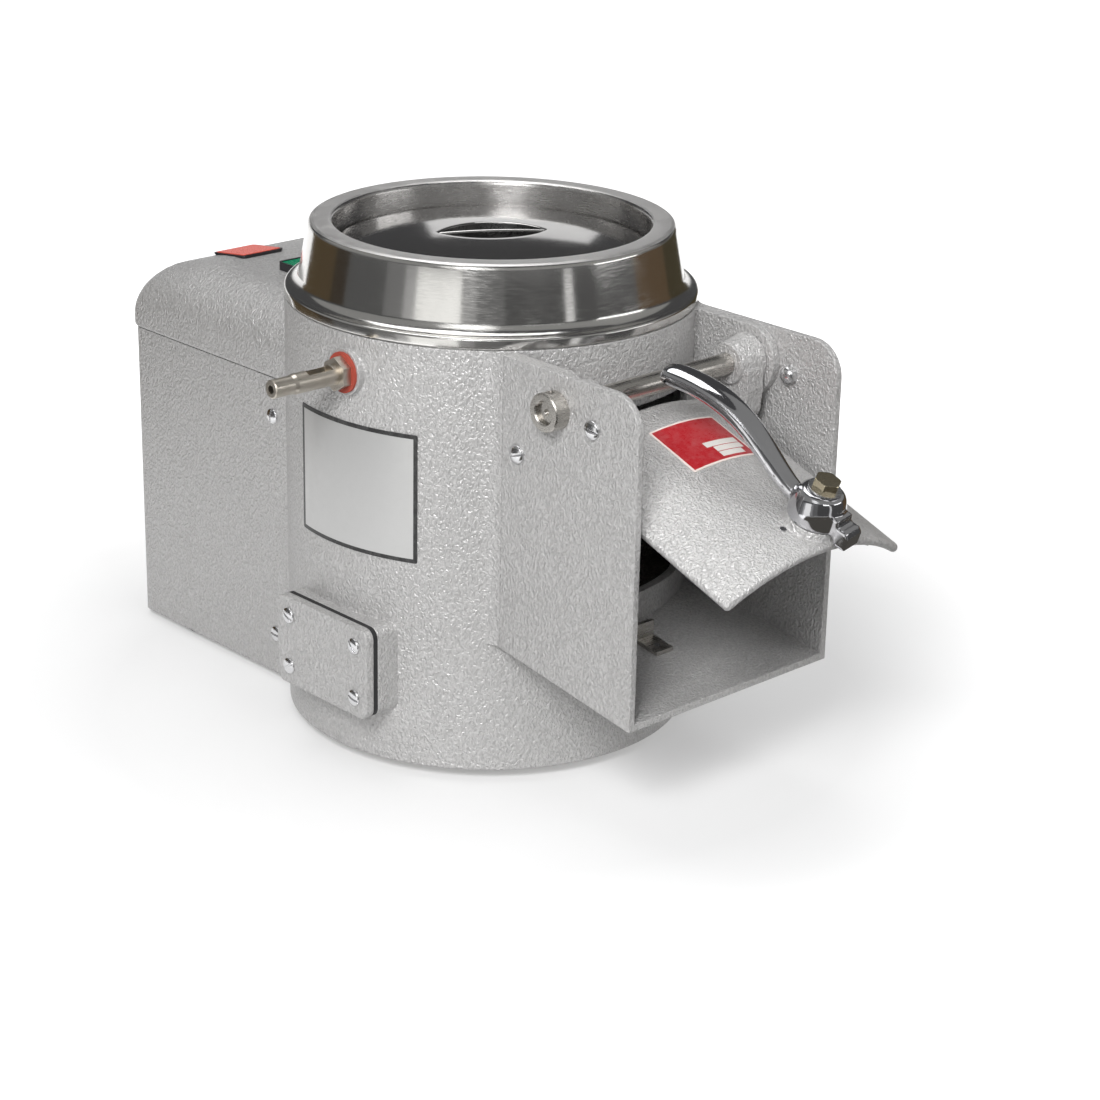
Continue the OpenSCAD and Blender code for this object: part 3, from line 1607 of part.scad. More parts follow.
module latch_lever() color("dimgray") {
    steps = 10;
    rise = latch_hub_top - lever_bottom - 4;
    dome = [for (i = [0 : steps]) [
        latch_hub_top_r + (latch_hub_r - latch_hub_top_r) * cos(90 * i / steps),
        lever_bottom + 4 + rise * sin(90 * i / steps)]];
    door_space()
        latch_space(latch_turn)
            difference() {
                union() {
                    rotate_extrude()
                        polygon(concat([[0, lever_bottom], [latch_hub_r, lever_bottom]], dome,
                                       [[0, latch_hub_top]]));
                    handle();
                    // tail that hooks behind the catch
                    rotate([90, 0, 0])
                        translate([0, 0, -latch_tail_w / 2])
                            linear_extrude(height = latch_tail_w)
                                polygon([
                                    [0, lever_bottom], [-latch_pad_r - 1.5, lever_bottom],
                                    [-latch_pad_r - 3, tail_nose_h], [-latch_tail_l, tail_nose_h],
                                    [-latch_tail_l, latch_tail_top - 3],
                                    [-latch_tail_l + 3, latch_tail_top],
                                    [-latch_hub_r - 3, latch_tail_top],
                                    [-latch_hub_r - 2, latch_tail_top + 5], [0, latch_tail_top + 5]
                                ]);
                }
                cylinder(r = latch_bolt_r + running_fit, h = 60);
            }
}

// ---------------------------------------------------------------- what is drawn

drum();
bearing_housing();
housing_screws();
chute_guard();
guard_screws();
chute_side_screws();
door_catch();
catch_screws();
hinge_shaft();
shaft_collars();
collar_grub_screws();
blanking_gasket();
blanking_plate();
blanking_screws();
outlet_gasket();
waste_outlet();
outlet_screws();
water_inlet();
inlet_nut();
inlet_washer();
inlet_lock_nut();
instruction_plate();
motor_casing();
casing_cover();
casing_screws();
cover_screws();
base_plate();
base_screws();
feet();
foot_screws();
motor_body();
motor_bracket();
motor_bolts();
upper_bearing();
lower_bearing();
shaft_seal();
drive_belt();
start_switch();
stop_switch();
capacitor();
terminal_block();
cable_gland();
gland_lock_nut();
collar();
lid();
spindle();
spindle_circlip();
driven_pulley();
peeler_plate();
abrasive_disc();
motor_rotor();
motor_pulley();
door_casting();
door_liner();
rating_plate();
latch_bolt();
latch_washer();
latch_lever();
start_button();
stop_button();
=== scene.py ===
"""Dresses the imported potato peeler: finishes, fine pieces, studio and camera."""

import logging
import math
from dataclasses import dataclass, field
from enum import Enum
from typing import Dict, Iterable, List, Optional, Sequence, Tuple, Union

import bmesh
import bpy
from mathutils import Matrix, Vector


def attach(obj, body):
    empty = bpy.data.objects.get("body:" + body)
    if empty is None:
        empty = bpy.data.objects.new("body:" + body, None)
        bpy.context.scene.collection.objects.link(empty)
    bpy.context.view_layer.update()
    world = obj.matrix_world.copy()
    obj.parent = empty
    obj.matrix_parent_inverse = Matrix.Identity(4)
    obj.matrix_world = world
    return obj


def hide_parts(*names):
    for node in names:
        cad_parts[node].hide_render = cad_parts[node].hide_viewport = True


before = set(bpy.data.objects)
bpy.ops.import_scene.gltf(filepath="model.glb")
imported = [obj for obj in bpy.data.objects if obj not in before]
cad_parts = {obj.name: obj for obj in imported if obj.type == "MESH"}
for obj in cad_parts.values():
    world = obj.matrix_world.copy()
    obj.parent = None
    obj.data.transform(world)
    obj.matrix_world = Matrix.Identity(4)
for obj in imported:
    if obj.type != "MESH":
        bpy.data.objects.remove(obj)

LOG = logging.getLogger("peeler")
MM = 0.001
WHITE = (1.0, 1.0, 1.0)
BOTH = (-1, 1)
NOISE_RANGE = (0.3, 0.7)
Colour = Tuple[float, float, float]
Point = Tuple[float, float, float]
Pair = Tuple[float, float]
Box = Tuple[float, float, float, float]
Ring = List[Point]
Seat = Tuple[Point, Point]
Mesh = bpy.types.Mesh
Thing = bpy.types.Object
Vert = bmesh.types.BMVert
Socket = bpy.types.NodeSocket
Value = Union[float, Tuple[float, ...], Socket]
Inputs = Dict[Union[str, int], Value]
MADE: Dict["Finish", bpy.types.Material] = {}


# ---------------------------------------------------------------- node helper


@dataclass
class Sketch:
    """A node tree under construction."""

    tree: bpy.types.NodeTree

    def put(self, socket: Socket, value: Value) -> None:
        """Sets an input to a value, or links it to another node's socket."""
        if isinstance(value, bpy.types.NodeSocket):
            self.tree.links.new(value, socket)
        elif isinstance(value, tuple) and len(value) == 3 and socket.type == "RGBA":
            socket.default_value = (*value, 1.0)
        else:
            socket.default_value = value

    def add(self, kind: str, inputs: Optional[Inputs] = None, **props: object) -> bpy.types.Node:
        """Adds one node and sets or links its inputs.

        Args:
            kind: The node's type, without the "ShaderNode" start.
            inputs: Values or sockets for its inputs, by name or by number.
            **props: Properties of the node itself.

        Returns:
            The new node.
        """
        node = self.tree.nodes.new("ShaderNode" + kind)
        for name, value in props.items():
            setattr(node, name, value)
        for name, value in (inputs or {}).items():
            self.put(node.inputs[name], value)
        return node

    def math(self, operation: str, a: Value, b: Value = 0.0, clamp: bool = False) -> Socket:
        """Result of one Math node."""
        return self.add("Math", {0: a, 1: b}, operation=operation, use_clamp=clamp).outputs[0]

    def times(self, a: Value, b: Value) -> Socket:
        """Product of two values."""
        return self.math("MULTIPLY", a, b)

    def plus(self, a: Value, b: Value, clamp: bool = False) -> Socket:
        """Sum of two values."""
        return self.math("ADD", a, b, clamp)

    def remap(
        self, value: Value, low: float, high: float, to_low: float = 0.0, to_high: float = 1.0
    ) -> Socket:
        """Value taken from one range to another, held inside it."""
        inputs = {"Value": value, "From Min": low, "From Max": high, "To Min": to_low, "To Max": to_high}
        return self.add("MapRange", inputs).outputs["Result"]

    def spread(self, noise: Value, low: float = 0.0, high: float = 1.0) -> Socket:
        """Noise taken from its usual range to another."""
        return self.remap(noise, *NOISE_RANGE, low, high)

    def blend(self, factor: Value, a: Value, b: Value) -> Socket:
        """Mix of two colours."""
        node = self.add("Mix", data_type="RGBA")
        for number, value in ((0, factor), (6, a), (7, b)):
            self.put(node.inputs[number], value)
        return node.outputs[2]

    def place(self, stretch: Optional[Point] = None) -> Socket:
        """Object coordinates, stretched along the axes if a stretch is given."""
        where = self.add("TexCoord").outputs["Object"]
        return self.add("Mapping", {"Vector": where, "Scale": stretch}).outputs[0] if stretch else where

    def noise(self, where: Value, scale: float, detail: float = 2.0, rough: float = 0.5) -> Socket:
        """Noise between about 0.3 and 0.7, its scale in waves per metre."""
        inputs = {"Vector": where, "Scale": scale, "Detail": detail, "Roughness": rough}
        return self.add("TexNoise", inputs).outputs[0]

    def cells(self, where: Value, scale: float, kind: str) -> bpy.types.bpy_prop_collection:
        """Sockets that tell of the nearest of scattered points, such as its distance and its colour."""
        return self.add("TexVoronoi", {"Vector": where, "Scale": scale}, feature=kind).outputs

    def bump(
        self, height: Value, strength: float, distance: float, normal: Optional[Socket] = None
    ) -> Socket:
        """Normal of a surface with fine relief.

        Args:
            height: The relief, from 0 to 1.
            strength: How strongly it shows.
            distance: Depth of the relief in metres.
            normal: The normal that it is added to.

        Returns:
            The new normal.
        """
        inputs: Inputs = {"Height": height, "Strength": strength, "Distance": distance}
        if normal is not None:
            inputs["Normal"] = normal
        return self.add("Bump", inputs).outputs[0]

    def soft_edge(self, radius: float) -> Socket:
        """Normal that rounds edges by a radius in metres."""
        return self.add("Bevel", {"Radius": radius}, samples=6).outputs[0]

    def edges(self, radius: float) -> Socket:
        """1 along sharp edges and 0 on flat stretches."""
        true_normal = self.add("NewGeometry").outputs["Normal"]
        alike = self.add("VectorMath", {0: self.soft_edge(radius), 1: true_normal}, operation="DOT_PRODUCT")
        return self.remap(alike.outputs["Value"], 0.97, 0.80)


def blank_material(name: str) -> Tuple[bpy.types.Material, Sketch]:
    """New material with an empty tree, and the sketch that fills it."""
    made = bpy.data.materials.new(name)
    made.use_nodes = True
    made.node_tree.nodes.clear()
    return made, Sketch(made.node_tree)


def toned(colour: Colour, by: float, lift: float = 0.0) -> Colour:
    """A colour made darker or paler, never past white."""
    return tuple(min(1.0, c * by + lift) for c in colour)


# ---------------------------------------------------------------- finishes


class Grain(Enum):
    """Direction of the fine marks on a metal."""

    TURNED = "turned round the Z axis"
    ALONG_X = "along X"
    ALL_WAYS = "all ways"


@dataclass(frozen=True)
class Finish:
    """What every finish has: a name, a colour and a roughness."""

    name: str
    colour: Colour
    rough: float = 0.4

    def surface(self, s: Sketch) -> Dict[str, Value]:
        """Values for the surface shader's sockets.

        Args:
            s: The material's node tree.

        Returns:
            Values by socket name.
        """
        return {"Base Color": self.colour, "Roughness": self.rough}

    def material(self) -> bpy.types.Material:
        """The finish as a material, built once."""
        if self in MADE:
            return MADE[self]
        made, s = blank_material(self.name)
        shader = s.add("BsdfPrincipled", dict(self.surface(s)))
        s.add("OutputMaterial", {"Surface": shader.outputs[0]})
        made.diffuse_color = (*self.colour, 1.0)
        MADE[self] = made
        return made


@dataclass(frozen=True)
class HammeredPaint(Finish):
    """Silver paint that dries in small round-backed wrinkles over a casting.

    A wrinkle has a width and a depth, is bent out of line and drawn out upwards. The valley and ridge shares
    of the colour are painted shade in its valleys and painted light on its ridges, the edge radius of the
    sheen sets a painted highlight along edges, and uneven is how far the roughness strays.
    """

    wrinkle: float = 1.75 * MM
    depth: float = 0.78 * MM
    bend: float = 2.6 * MM
    upright: Point = (1.0, 1.0, 0.72)
    edge: float = 1.6 * MM
    # Radius of the painted highlight along edges.
    painted_sheen_edge: float = 0.8 * MM
    # Shares of the colour for the painted shade in valleys and the painted light on ridges.
    painted_valley_shade: float = 0.82
    painted_ridge_light: float = 1.10
    metal: float = 0.45
    uneven: float = 0.07

    def surface(self, s: Sketch) -> Dict[str, Value]:
        """Wrinkles with painted shade in their valleys and painted light on their ridges, slow cloudiness and
        a painted sheen on edges.
        """
        where = s.place(self.upright)
        drift = s.add("TexNoise", {"Vector": where, "Scale": 300.0, "Detail": 1.0}).outputs["Color"]
        push = s.add("VectorMath", {0: drift, 1: (self.bend,) * 3}, operation="MULTIPLY").outputs[0]
        bent = s.add("VectorMath", {0: where, 1: push}, operation="ADD").outputs[0]
        folds = s.remap(s.noise(bent, 1.0 / self.wrinkle, 1.5, 0.5), 0.32, 0.68)
        pits = s.cells(bent, 0.8 / self.wrinkle, "SMOOTH_F1")["Distance"]
        height = s.plus(s.times(folds, 0.75), s.times(pits, 0.45))
        height = s.plus(height, s.times(s.noise(where, 130.0, 1.0), 0.8))
        normal = s.bump(height, 1.0, self.depth, s.soft_edge(self.edge))
        cloud = s.spread(s.noise(s.place(), 7.0, 4.0, 0.55))
        edge_sheen = s.edges(self.painted_sheen_edge)
        # Painted shade in the wrinkles' valleys and painted light on their ridges, standing in for the
        # wrinkles' own shading.
        base = s.blend(folds, toned(self.colour, self.painted_valley_shade), toned(self.colour, self.painted_ridge_light))
        base = s.blend(s.times(cloud, 0.12), base, toned(self.colour, 0.88))
        # Painted sheen: edges made paler as a painted highlight.
        base = s.blend(s.times(edge_sheen, 0.35), base, toned(self.colour, 1.45))
        speckle = s.noise(where, 340.0, 2.0)
        return {
            "Base Color": base,
            "Metallic": self.metal,
            "Roughness": s.spread(speckle, self.rough - self.uneven, self.rough + self.uneven),
            "Specular IOR Level": 0.5,
            "Coat Weight": 0.08,
            "Coat Roughness": 0.25,
            "Normal": normal,
        }


@dataclass(frozen=True)
class Metal(Finish):
    """Bare or plated metal with fine marks from its making.

    The stretch is how far gloss is drawn out across the grain. The mark is the share by which the grain
    changes the roughness, and dirt is the share of tarnish in a stain.
    """

    grain: Grain = Grain.ALL_WAYS
    mark: float = 0.3
    stretch: float = 0.0
    edge: float = 0.3 * MM
    tarnish: Colour = (0.35, 0.33, 0.30)
    dirt: float = 0.12
    groove: float = 0.02 * MM

    def lines(self, s: Sketch, where: Socket) -> Socket:
        """Pattern of the fine marks."""
        if self.grain is Grain.TURNED:
            x, y, z = s.add("SeparateXYZ", {0: where}).outputs
            angle = s.math("ARCTAN2", y, x)
            radius = s.math("SQRT", s.plus(s.times(x, x), s.times(y, y)))
            around = s.add("CombineXYZ", {0: s.times(angle, 0.012), 1: radius, 2: z})
            return s.noise(around.outputs[0], 1400.0, 3.0, 0.6)
        if self.grain is Grain.ALONG_X:
            return s.noise(s.place((0.04, 1.0, 1.0)), 1500.0, 3.0, 0.6)
        return s.noise(where, 800.0, 3.0, 0.65)

    def surface(self, s: Sketch) -> Dict[str, Value]:
        """Marks along the grain, faint stain and soft edges."""
        where = s.place()
        lines = self.lines(s, where)
        stain = s.remap(s.noise(where, 55.0, 4.0, 0.6), 0.45, 0.75)
        base = s.blend(s.times(stain, self.dirt), self.colour, self.tarnish)
        rough = s.spread(lines, self.rough * (1 - self.mark), self.rough * (1 + self.mark))
        rough = s.plus(rough, s.times(stain, 0.25 * self.rough), clamp=True)
        normal = s.bump(lines, 0.12 + 0.2 * self.mark, self.groove, s.soft_edge(self.edge))
        values: Dict[str, Value] = {
            "Base Color": base, "Metallic": 1.0, "Roughness": rough, "Normal": normal,
        }
        if self.stretch:
            # A quarter turn draws the gloss out across the turning marks, so its bands stand upright.
            values["Anisotropic"] = self.stretch
            values["Anisotropic Rotation"] = 0.25
            values["Tangent"] = s.add("Tangent", direction_type="RADIAL", axis="Z").outputs[0]
        return values


@dataclass(frozen=True)
class Moulded(Finish):
    """Plastic, rubber or fibre with a fine skin, whose waves per metre are its skin value."""

    skin: float = 900.0
    relief: float = 0.03 * MM
    gloss: float = 0.5
    wear: float = 0.15
    edge: float = 0.4 * MM
    uneven: float = 0.06

    def surface(self, s: Sketch) -> Dict[str, Value]:
        """Fine skin, faint scuffs and soft edges."""
        where = s.place()
        skin = s.noise(where, self.skin, 3.0, 0.6)
        scuff = s.remap(s.noise(s.place((1.0, 1.0, 0.3)), 70.0, 5.0, 0.7), 0.5, 0.78)
        base = s.blend(s.times(scuff, self.wear), self.colour, toned(self.colour, 1.25, 0.03))
        rough = s.spread(skin, max(0.02, self.rough - self.uneven), self.rough + self.uneven)
        normal = s.bump(skin, 0.4, self.relief, s.soft_edge(self.edge))
        return {
            "Base Color": base, "Roughness": rough, "Specular IOR Level": self.gloss, "Normal": normal,
        }


@dataclass(frozen=True)
class Plate(Finish):
    """Thin plate with a printed border and boxes, laid out on its own UV map in millimetres."""

    size: Pair = (100.0, 80.0)
    border: float = 3.0
    border_colour: Colour = (0.012, 0.012, 0.012)
    boxes: Tuple[Box, ...] = ()
    box_colour: Colour = (0.6, 0.58, 0.55)
    metal: float = 0.0
    uneven: float = 0.06
    scuffed: Colour = (0.5, 0.5, 0.5)

    def inside(self, s: Sketch, u: Socket, v: Socket, box: Box) -> Socket:
        """1 inside a box on the plate and 0 outside.

        Args:
            s: The material's node tree.
            u: Place across the plate.
            v: Place up the plate.
            box: Left, bottom, right and top in millimetres.

        Returns:
            The mask.
        """
        left, bottom, right, top = box
        mask = s.times(s.math("GREATER_THAN", u, left), s.math("LESS_THAN", u, right))
        mask = s.times(mask, s.math("GREATER_THAN", v, bottom))
        return s.times(mask, s.math("LESS_THAN", v, top))

    def surface(self, s: Sketch) -> Dict[str, Value]:
        """Printed field, border and boxes with faint scuffs."""
        u, v, _ = s.add("SeparateXYZ", {0: s.add("UVMap", uv_map="plate").outputs[0]}).outputs
        width, height = self.size
        b = self.border
        field_mask = self.inside(s, u, v, (b, b, width - b, height - b))
        scuff = s.remap(s.noise(s.place(), 160.0, 5.0, 0.7), 0.45, 0.75)
        across = s.add("CombineXYZ", {0: s.times(u, 0.02), 1: v, 2: 0.0}).outputs[0]
        grain = s.noise(across, 9.0, 3.0)
        dull = s.times(s.spread(grain), 0.10)
        base = s.blend(dull, self.colour, toned(self.colour, 0.7))
        base = s.blend(field_mask, self.border_colour, base)
        printed = s.math("SUBTRACT", 1.0, field_mask)
        for box in self.boxes:
            mask = self.inside(s, u, v, box)
            base = s.blend(mask, base, self.box_colour)
            printed = s.math("MAXIMUM", printed, mask)
        base = s.blend(s.times(scuff, 0.10), base, self.scuffed)
        metal = s.times(s.math("SUBTRACT", 1.0, printed), self.metal)
        rough = s.spread(grain, self.rough - self.uneven, self.rough + self.uneven)
        return {
            "Base Color": base,
            "Metallic": metal,
            "Roughness": s.plus(rough, s.times(scuff, 0.08)),
            "Normal": s.bump(grain, 0.15, 0.02 * MM),
        }


@dataclass(frozen=True)
class Grit(Finish):
    """Abrasive grains bonded in a dark resin."""

    grain_size: float = 1.1 * MM
    relief: float = 0.7 * MM

    def surface(self, s: Sketch) -> Dict[str, Value]:
        """Sharp grains of mixed greys and browns."""
        grains = s.cells(s.place(), 1.0 / self.grain_size, "F1")
        grey = s.add("SeparateColor", {0: grains["Color"]}).outputs[0]
        base = s.blend(grey, toned(self.colour, 0.55), toned(self.colour, 1.9))
        normal = s.bump(grains["Distance"], 1.0, self.relief)
        return {"Base Color": base, "Roughness": self.rough, "Normal": normal}


HAMMERED = HammeredPaint("hammered_paint", (0.505, 0.499, 0.495), 0.41)
STAINLESS = Metal("turned_stainless", (0.70, 0.69, 0.67), 0.15, Grain.TURNED, 0.35, 0.65, dirt=0.05)
BRUSHED = Metal("brushed_stainless", (0.62, 0.61, 0.60), 0.22, Grain.TURNED, 0.3, 0.8, dirt=0.05)
SATIN = Metal("satin_stainless", (0.68, 0.67, 0.66), 0.44, Grain.TURNED, 0.15, dirt=0.04)
SPUN = Metal("spun_stainless", (0.58, 0.57, 0.56), 0.09, Grain.TURNED, 0.25, dirt=0.04)
STEEL = Metal("bright_steel", (0.50, 0.48, 0.45), 0.28, Grain.ALONG_X, 0.3)
ZINC = Metal("zinc_plate", (0.70, 0.70, 0.71), 0.20, Grain.ALL_WAYS, 0.35)
CHROME = Metal("chrome_plate", (0.60, 0.60, 0.62), 0.09, Grain.ALL_WAYS, 0.2, edge=0.6 * MM, dirt=0.03)
# Dark steel for the lid's grip recess: painted shade for the dark inside of the recess.
SHADED = Metal("painted_shade_pressing", (0.12, 0.12, 0.12), 0.28, Grain.ALL_WAYS, 0.2, dirt=0.1)
YELLOW_ZINC = Metal(
    "yellow_zinc", (0.62, 0.55, 0.40), 0.2, Grain.ALL_WAYS, 0.3, tarnish=(0.4, 0.28, 0.1), dirt=0.4
)
NICKEL = Metal(
    "nickel_plate", (0.56, 0.52, 0.46), 0.32, Grain.ALONG_X, 0.2, tarnish=(0.3, 0.24, 0.17), dirt=0.3
)
CAST = Metal("bare_cast_aluminium", (0.55, 0.55, 0.56), 0.45, Grain.ALL_WAYS, 0.3, edge=0.8 * MM, dirt=0.3)
RUBBER = Moulded("black_rubber", (0.018, 0.018, 0.019), 0.55, gloss=0.35, wear=0.3)
FIBRE = Moulded("red_fibre", (0.33, 0.055, 0.035), 0.6, skin=500.0, gloss=0.3, wear=0.4)
GRIT = Grit("bonded_grit", (0.13, 0.12, 0.11), 0.85)
MOTOR_PAINT = Moulded("motor_paint", (0.10, 0.16, 0.21), 0.4, relief=0.08 * MM, wear=0.2)
BLACK_PLASTIC = Moulded("black_plastic", (0.015, 0.015, 0.017), 0.35)
GREEN_PLASTIC = Moulded("green_plastic", (0.0, 0.22, 0.10), 0.25, wear=0.1)
RED_PLASTIC = Moulded("red_plastic", (0.72, 0.07, 0.035), 0.3, wear=0.1)
PALE_PLASTIC = Moulded("pale_plastic", (0.70, 0.66, 0.55), 0.4)


def dress(finish: Finish, names: Iterable[str]) -> None:
    """Gives CAD nodes a finish.

    Args:
        finish: The finish.
        names: The nodes' names.
    """
    for name in names:
        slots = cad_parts[name].data.materials
        slots.clear()
        slots.append(finish.material())


# ---------------------------------------------------------------- mesh helpers


def loose(name: str, data: bpy.types.ID) -> Thing:
    """New object in the scene that isn't a finished piece, or not yet."""
    made = bpy.data.objects.new(name, data)
    bpy.context.scene.collection.objects.link(made)
    return made


def keep(name: str, mesh: Mesh, body: str, nodes: Sequence[str] = ()) -> None:
    """Makes a finished piece from a mesh and hands it to the frame.

    Args:
        name: The piece's name.
        mesh: Its mesh, with its place in the vertices.
        body: The body that it rides on.
        nodes: CAD nodes that it stands for.
    """
    mesh.name = name
    piece = loose(name, mesh)
    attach(piece, body)
    if nodes:
        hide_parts(*nodes)
    LOG.info("  %s: %d faces", name, len(mesh.polygons))


def soften(mesh: Mesh, angle: float = 32.0) -> None:
    """Shades a mesh smooth, with sharp edges where faces meet at more than an angle."""
    mesh.shade_smooth()
    mesh.set_sharp_from_angle(angle=math.radians(angle))


def baked(bm: bmesh.types.BMesh, name: str) -> Mesh:
    """The working mesh as a mesh of the file; the working mesh itself is freed."""
    mesh = bpy.data.meshes.new(name)
    bm.to_mesh(mesh)
    bm.free()
    return mesh


def joined(meshes: Iterable[Mesh], name: str) -> Mesh:
    """One mesh out of several, which are removed."""
    bm = bmesh.new()
    for mesh in meshes:
        bm.from_mesh(mesh)
        bpy.data.meshes.remove(mesh)
    return baked(bm, name)


def in_metres(turn: Matrix) -> Matrix:
    """The same placing, with its shift taken from millimetres to metres."""
    return Matrix.Translation(turn.translation * MM) @ turn.to_3x3().to_4x4()


def skin_rings(
    rings: Sequence[Sequence[Point]],
    finishes: Sequence[Finish] = (),
    bands: Optional[Sequence[int]] = None,
    closed: bool = False,
) -> Mesh:
    """Mesh through closed rings of points, in millimetres.

    Args:
        rings: Rings with the same number of points each; a ring of one point is a pole.
        finishes: The finishes in the mesh's slots, none for a working form.
        bands: Slot number for the band after each ring.
        closed: Whether the last ring joins the first, as on a ring-shaped piece.

    Returns:
        The mesh, faces outwards.
    """
    bm = bmesh.new()
    made = [[bm.verts.new(Vector(p) * MM) for p in ring] for ring in rings]
    count = max(len(ring) for ring in rings)
    pairs = list(zip(made, made[1:]))
    if closed:
        pairs.append((made[-1], made[0]))
    for band, (low, high) in enumerate(pairs):
        for j in range(count):
            k = (j + 1) % count
            square = (low[j % len(low)], low[k % len(low)], high[k % len(high)], high[j % len(high)])
            corners = list(dict.fromkeys(square))
            if len(corners) > 2:
                face = bm.faces.new(corners)
                face.material_index = bands[band] if bands else 0
    bmesh.ops.remove_doubles(bm, verts=bm.verts, dist=1e-7)
    bmesh.ops.recalc_face_normals(bm, faces=bm.faces)
    mesh = baked(bm, "skin")
    for finish in finishes:
        mesh.materials.append(finish.material())
    soften(mesh)
    return mesh


def capped(rings: Sequence[Ring]) -> List[Ring]:
    """The rings, with a pole in the middle of the first and of the last."""
    ends = [[tuple(sum(c) / len(ring) for c in zip(*ring))] for ring in (rings[0], rings[-1])]
    return [ends[0], *rings, ends[1]]


def bow(centre: Pair, radius: float, start: float, end: float, steps: int) -> List[Pair]:
    """Points of an arc in a profile, from one angle to another in degrees."""
    angles = [math.radians(start + (end - start) * i / steps) for i in range(steps + 1)]
    return [(centre[0] + radius * math.cos(a), centre[1] + radius * math.sin(a)) for a in angles]


def turned(profile: Sequence[Pair], count: int) -> List[Ring]:
    """Rings of a piece turned round the Z axis."""
    rings: List[Ring] = []
    for r, z in profile:
        if r < 1e-6:
            rings.append([(0.0, 0.0, z)])
        else:
            angles = (2 * math.pi * j / count for j in range(count))
            rings.append([(r * math.cos(a), r * math.sin(a), z) for a in angles])
    return rings


def evaluated(piece: Thing, *tools: Thing) -> Mesh:
    """Plain mesh of an object with its modifiers applied; the object and its tools are removed."""
    graph = bpy.context.evaluated_depsgraph_get()
    graph.update()
    shown = piece.evaluated_get(graph)
    mesh = bpy.data.meshes.new_from_object(shown, preserve_all_data_layers=True, depsgraph=graph)
    for used in (piece, *tools):
        bpy.data.objects.remove(used)
    return mesh


def carve(piece: Thing, tool: Thing, operation: str = "DIFFERENCE") -> None:
    """Adds an exact boolean with a working form."""
    cut = piece.modifiers.new("cut", "BOOLEAN")
    cut.object, cut.operation, cut.solver = tool, operation, "EXACT"


# ---------------------------------------------------------------- sub-assemblies


@dataclass
class Castings:
    """The painted castings that stay as they are modelled."""

    nodes: Tuple[str, ...] = (
        "drum", "chute_guard", "blanking_plate", "waste_outlet",
        "motor_casing", "casing_cover", "door_casting",
    )

    def build(self) -> None:
        """Dresses the castings."""
        dress(HAMMERED, self.nodes)


@dataclass
class Hopper:
    """The steel collar on the drum: flange, leaning wall, broad rim and inner wall with the lid's ledge.

    The lift is the height of the flange's underside over the drum. The lean is the angle at which the wall
    goes over into the rim's bend.
    """

    drum_top: float = 332.0
    spigot_r: float = 147.7
    spigot_h: float = 12.0
    spigot_t: float = 2.0
    seat_r: float = 152.5
    lift: float = 1.0
    flange_r: float = 155.0
    flange_top: float = 340.7
    flange_low_edge: float = 0.8
    flange_top_edge: float = 2.2
    foot_r: float = 144.0
    fillet: float = 9.5
    top_r: float = 137.4
    lean: float = 8.0
    rim_top: float = 389.0
    rim_r: float = 5.0
    bore_r: float = 118.3
    bore_rim_r: float = 4.0
    ledge_z: float = 366.0
    ledge_w: float = 10.3
    sheet: float = 1.8
    facets: int = 256

    def flange(self) -> List[Pair]:
        """Profile from the spigot in the drum over the flange to the leaning wall's foot."""
        drum_top, under = self.drum_top, self.drum_top + self.lift
        low, high = self.flange_low_edge, self.flange_top_edge
        points = [
            (self.spigot_r, drum_top - self.spigot_h), (self.spigot_r, drum_top),
            (self.seat_r, drum_top), (self.seat_r, under), (self.flange_r - 1, under),
        ]
        points += bow((self.flange_r - low, under + low), low, 270, 360, 4)
        points += bow((self.flange_r - high, self.flange_top - high), high, 0, 90, 8)
        foot = (self.foot_r + self.fillet, self.flange_top + self.fillet)
        return points + bow(foot, self.fillet, 270, 180, 14)

    def build(self) -> None:
        """Turns the collar, with a satin rim and a brushed inner wall."""
        top, bore, ledge, sheet = self.rim_top, self.bore_r, self.ledge_z, self.sheet
        rim_c = (self.top_r - self.rim_r, top - self.rim_r)
        bore_c = (bore + self.bore_rim_r, top - self.bore_rim_r)
        flange = self.flange()
        rim = bow(rim_c, self.rim_r, self.lean, 90, 12) + bow(bore_c, self.bore_rim_r, 90, 180, 12)
        ledge_in = bore - self.ledge_w
        inner = [
            (bore, ledge + 0.8), (bore - 0.8, ledge), (ledge_in + 0.4, ledge), (ledge_in, ledge - 0.4),
            (ledge_in, ledge - sheet), (bore + sheet, ledge - sheet),
        ]
        back = bow(bore_c, self.bore_rim_r - sheet, 180, 90, 6)
        back += bow(rim_c, self.rim_r - sheet, 90, self.lean, 6)
        inside_r, spigot_in = self.foot_r - sheet, self.spigot_r - self.spigot_t
        back += [
            (inside_r, self.flange_top + self.fillet), (inside_r, self.drum_top + 4),
            (spigot_in, self.drum_top + self.lift), (spigot_in, self.drum_top - self.spigot_h),
        ]
        profile = flange + rim + inner + back
        # The satin runs from the middle of the rim's outer bend to nearly the middle of its inner one.
        first, last = len(flange) + 6, len(flange) + len(rim) - 8
        bands = [0 if i < first else 1 if i < last else 2 for i in range(len(profile))]
        rings = turned(profile, self.facets)
        mesh = skin_rings(rings, (STAINLESS, SATIN, BRUSHED), bands, closed=True)
        keep("hopper_collar", mesh, "collar", ("collar",))


